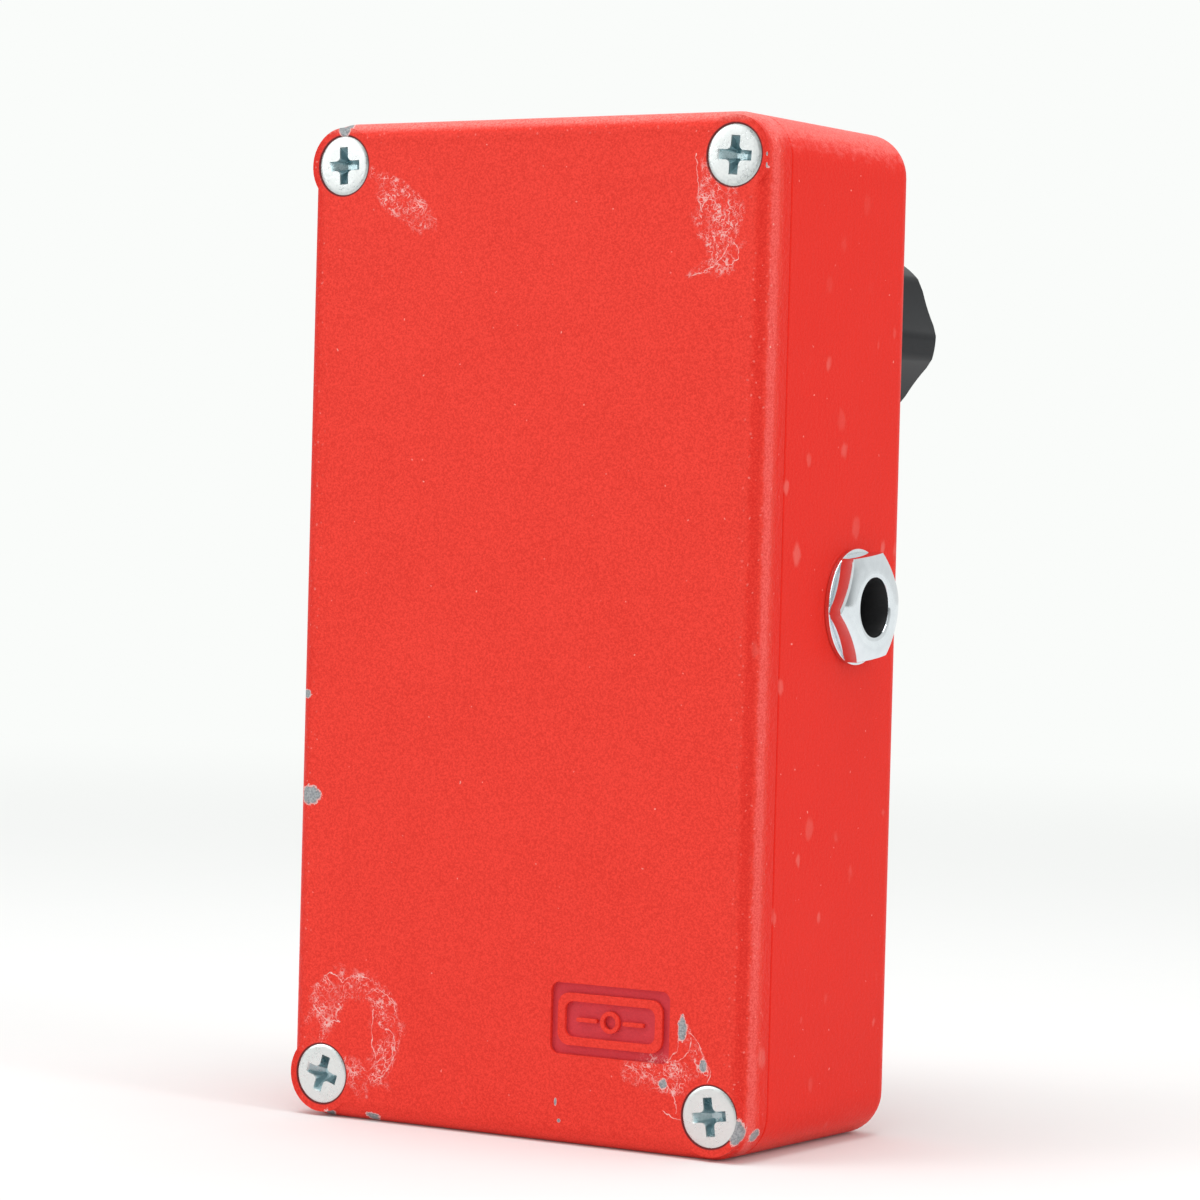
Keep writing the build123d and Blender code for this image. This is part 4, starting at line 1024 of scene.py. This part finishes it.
def ferrule_nut(node, name):
    """A thin hexagon nut with a gently domed face round the bore, on its barrel."""
    low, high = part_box(node)
    middle = (low + high) / 2
    side = math.copysign(1.0, middle.x)
    face_x = max(abs(low.x), abs(high.x))
    tail_x = min(abs(low.x), abs(high.x))
    under_x = face_x - ferrule_nut_high * MM
    edit = bmesh.new()

    def domed(radius):
        """The face falls away from the bore towards the corners."""
        return face_x - dome_fall * max(0.0, radius - flat_face_radius) ** 2 * MM

    def ring(inner, share, along):
        """share 0 is at the inner radius and share 1 at the hexagon's edge."""
        points = []
        for step in range(ferrule_facets):
            angle = math.radians(ferrule_turn) + step * math.tau / ferrule_facets
            radius = inner + (hex_reach(ferrule_flats, angle, ferrule_turn) - inner) * share
            x = along(radius) if callable(along) else along
            y = middle.y + radius * MM * math.cos(angle)
            z = middle.z + radius * MM * math.sin(angle)
            points.append((side * x, y, z))
        return ring_of(edit, points)

    rings = [
        ring(ferrule_bore, 0.0, tail_x),
        ring(ferrule_bore, 0.0, face_x - 0.22 * MM),
        ring(ferrule_bore + 0.07, 0.0, face_x - 0.06 * MM),
        ring(ferrule_bore + bore_rounding, 0.0, face_x),
    ]
    for number in range(1, ferrule_face_rings):
        rings.append(ring(ferrule_bore + bore_rounding, number / ferrule_face_rings, domed))
    rings += [
        ring(ferrule_bore, 0.985, domed),
        ring(ferrule_bore, 1.0, lambda radius: domed(radius) - 0.06 * MM),
        ring(ferrule_bore, 1.0, under_x + 0.12 * MM),
        ring(ferrule_bore, 0.965, under_x),
        ring(ferrule_barrel_radius, 0.0, under_x),
        ring(ferrule_barrel_radius, 0.0, tail_x),
    ]
    for first, second in zip(rings, rings[1:] + rings[:1]):
        bridge(edit, first, second)
    edit.normal_update()
    dark_within = (ferrule_bore + 0.05) * MM
    for face in edit.faces:
        offsets = [math.hypot(vert.co.y - middle.y, vert.co.z - middle.z) for vert in face.verts]
        face.material_index = 1 if max(offsets) < dark_within else 0
    piece = add_piece(name, to_mesh(edit, name), node)
    piece.data.materials.append(finishes["black_moulding"])
    return piece


def contact_spring():
    """The foot switch's return spring, as its own piece with its own mesh."""
    node = "footswitch_spring"
    source = nodes[node]
    edit = bmesh.new()
    edit.from_mesh(source.data)
    bmesh.ops.transform(edit, matrix=source.matrix_world, verts=edit.verts)
    bmesh.ops.remove_doubles(edit, verts=edit.verts, dist=weld_distance)
    piece = add_piece("return_spring", to_mesh(edit, "return_spring"), node)
    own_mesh(piece)


surround_colour = (0.956, 0.973, 0.956, 1.0)
floor_radius = 6.0
floor_lit_within = 0.08
floor_white_past = 0.8


def studio():
    """A pale floor that runs out into an even white surround."""
    floor_mesh = bpy.data.meshes.new("studio_floor")
    edit = bmesh.new()
    bmesh.ops.create_circle(edit, cap_ends=True, segments=96, radius=floor_radius)
    edit.to_mesh(floor_mesh)
    edit.free()
    floor = bpy.data.objects.new("studio_floor", floor_mesh)
    bpy.context.scene.collection.objects.link(floor)
    material, tree, shader = finish("pale floor", 0.45, Specular_IOR_Level=0.0)
    place = tree.nodes.new("ShaderNodeTexCoord").outputs["Object"]
    out = tree.place(fine_grain, {"Size": 3.0, "Contrast": 0.3})
    near = tree.blend(out["Shade"], (0.78, 0.78, 0.78, 1.0), (0.80, 0.80, 0.80, 1.0))
    away = tree.fade(tree.vector("LENGTH", place), floor_lit_within, floor_white_past)
    tree.feed(shader.inputs["Base Color"], tree.blend(away, near, (0.0, 0.0, 0.0, 1.0)))
    tree.feed(shader.inputs["Emission Color"], tree.blend(away, (0.03, 0.03, 0.03, 1.0), surround_colour))
    shader.inputs["Emission Strength"].default_value = 1.0
    floor_mesh.materials.append(material)

    world = bpy.data.worlds.new("white_surround")
    bpy.context.scene.world = world
    world.use_nodes = True
    tree = Tree(world.node_tree)
    surround = tree.nodes["Background"]
    surround.inputs["Color"].default_value = surround_colour
    seen = tree.nodes.new("ShaderNodeLightPath").outputs["Is Camera Ray"]
    direction = tree.nodes.new("ShaderNodeTexCoord").outputs["Generated"]
    axes = tree.add("ShaderNodeSeparateXYZ", {"Vector": direction}).outputs
    level = tree.fade(axes["Y"], -0.28, -0.85, 0.32, 0.82)
    overhead = tree.fade(axes["Z"], 0.15, 0.8)
    lit = tree.math("MULTIPLY_ADD", overhead, tree.math("SUBTRACT", 0.9, level), level)
    shown = tree.math("MULTIPLY_ADD", seen, tree.math("SUBTRACT", 1.0, lit), lit)
    tree.feed(surround.inputs["Strength"], shown)


def soft_box(name, place, aim, width, height, watts):
    data = bpy.data.lights.new(name, "AREA")
    data.shape = "RECTANGLE"
    data.size = width
    data.size_y = height
    data.energy = watts
    light = bpy.data.objects.new(name, data)
    light.location = place
    light.rotation_mode = "QUATERNION"
    light.rotation_quaternion = (Vector(aim) - Vector(place)).to_track_quat("-Z", "Y")
    bpy.context.scene.collection.objects.link(light)


studio_camera()
bpy.context.scene.view_settings.view_transform = "Standard"
studio()
middle = (cad_low + cad_high) / 2
soft_box("overhead_box", (0.0, 0.10, 0.75), middle, 0.50, 0.42, 2.5)
soft_box("cover_side_box", (0.60, 0.70, 0.40), middle, 0.5, 0.5, 2.2)
soft_box("jack_side_box", (-0.75, 0.12, 0.42), middle, 0.18, 0.5, 1.5)

for node, slot_name in node_slots.items():
    for material_slot in nodes[node].material_slots:
        material_slot.material = finishes[slot_name]

cover_screws()
ferrule_nut("output_jack_ferrule_nut", "output_ferrule_nut")
ferrule_nut("input_jack_ferrule_nut", "input_ferrule_nut")
eased("knob_left", "left_fluted_knob", 0.28)
eased("knob_right", "right_fluted_knob", 0.28)
eased("footswitch_button", "foot_button", 0.3)
eased("footswitch_outer_nut", "foot_switch_nut", 0.15)
eased("footswitch_bushing", "foot_switch_bushing", 0.12)
eased("footswitch_outer_washer", "foot_switch_washer", 0.1)
eased("light_bezel", "light_bezel_ring", 0.2)
eased("power_jack_nut", "power_socket_nut", 0.15)
eased("battery", "rounded_battery", 0.9)
eased("jack_washers", "jack_washer_pair", 0.1)
eased("power_jack_body", "power_socket_body", 0.12)
contact_spring()
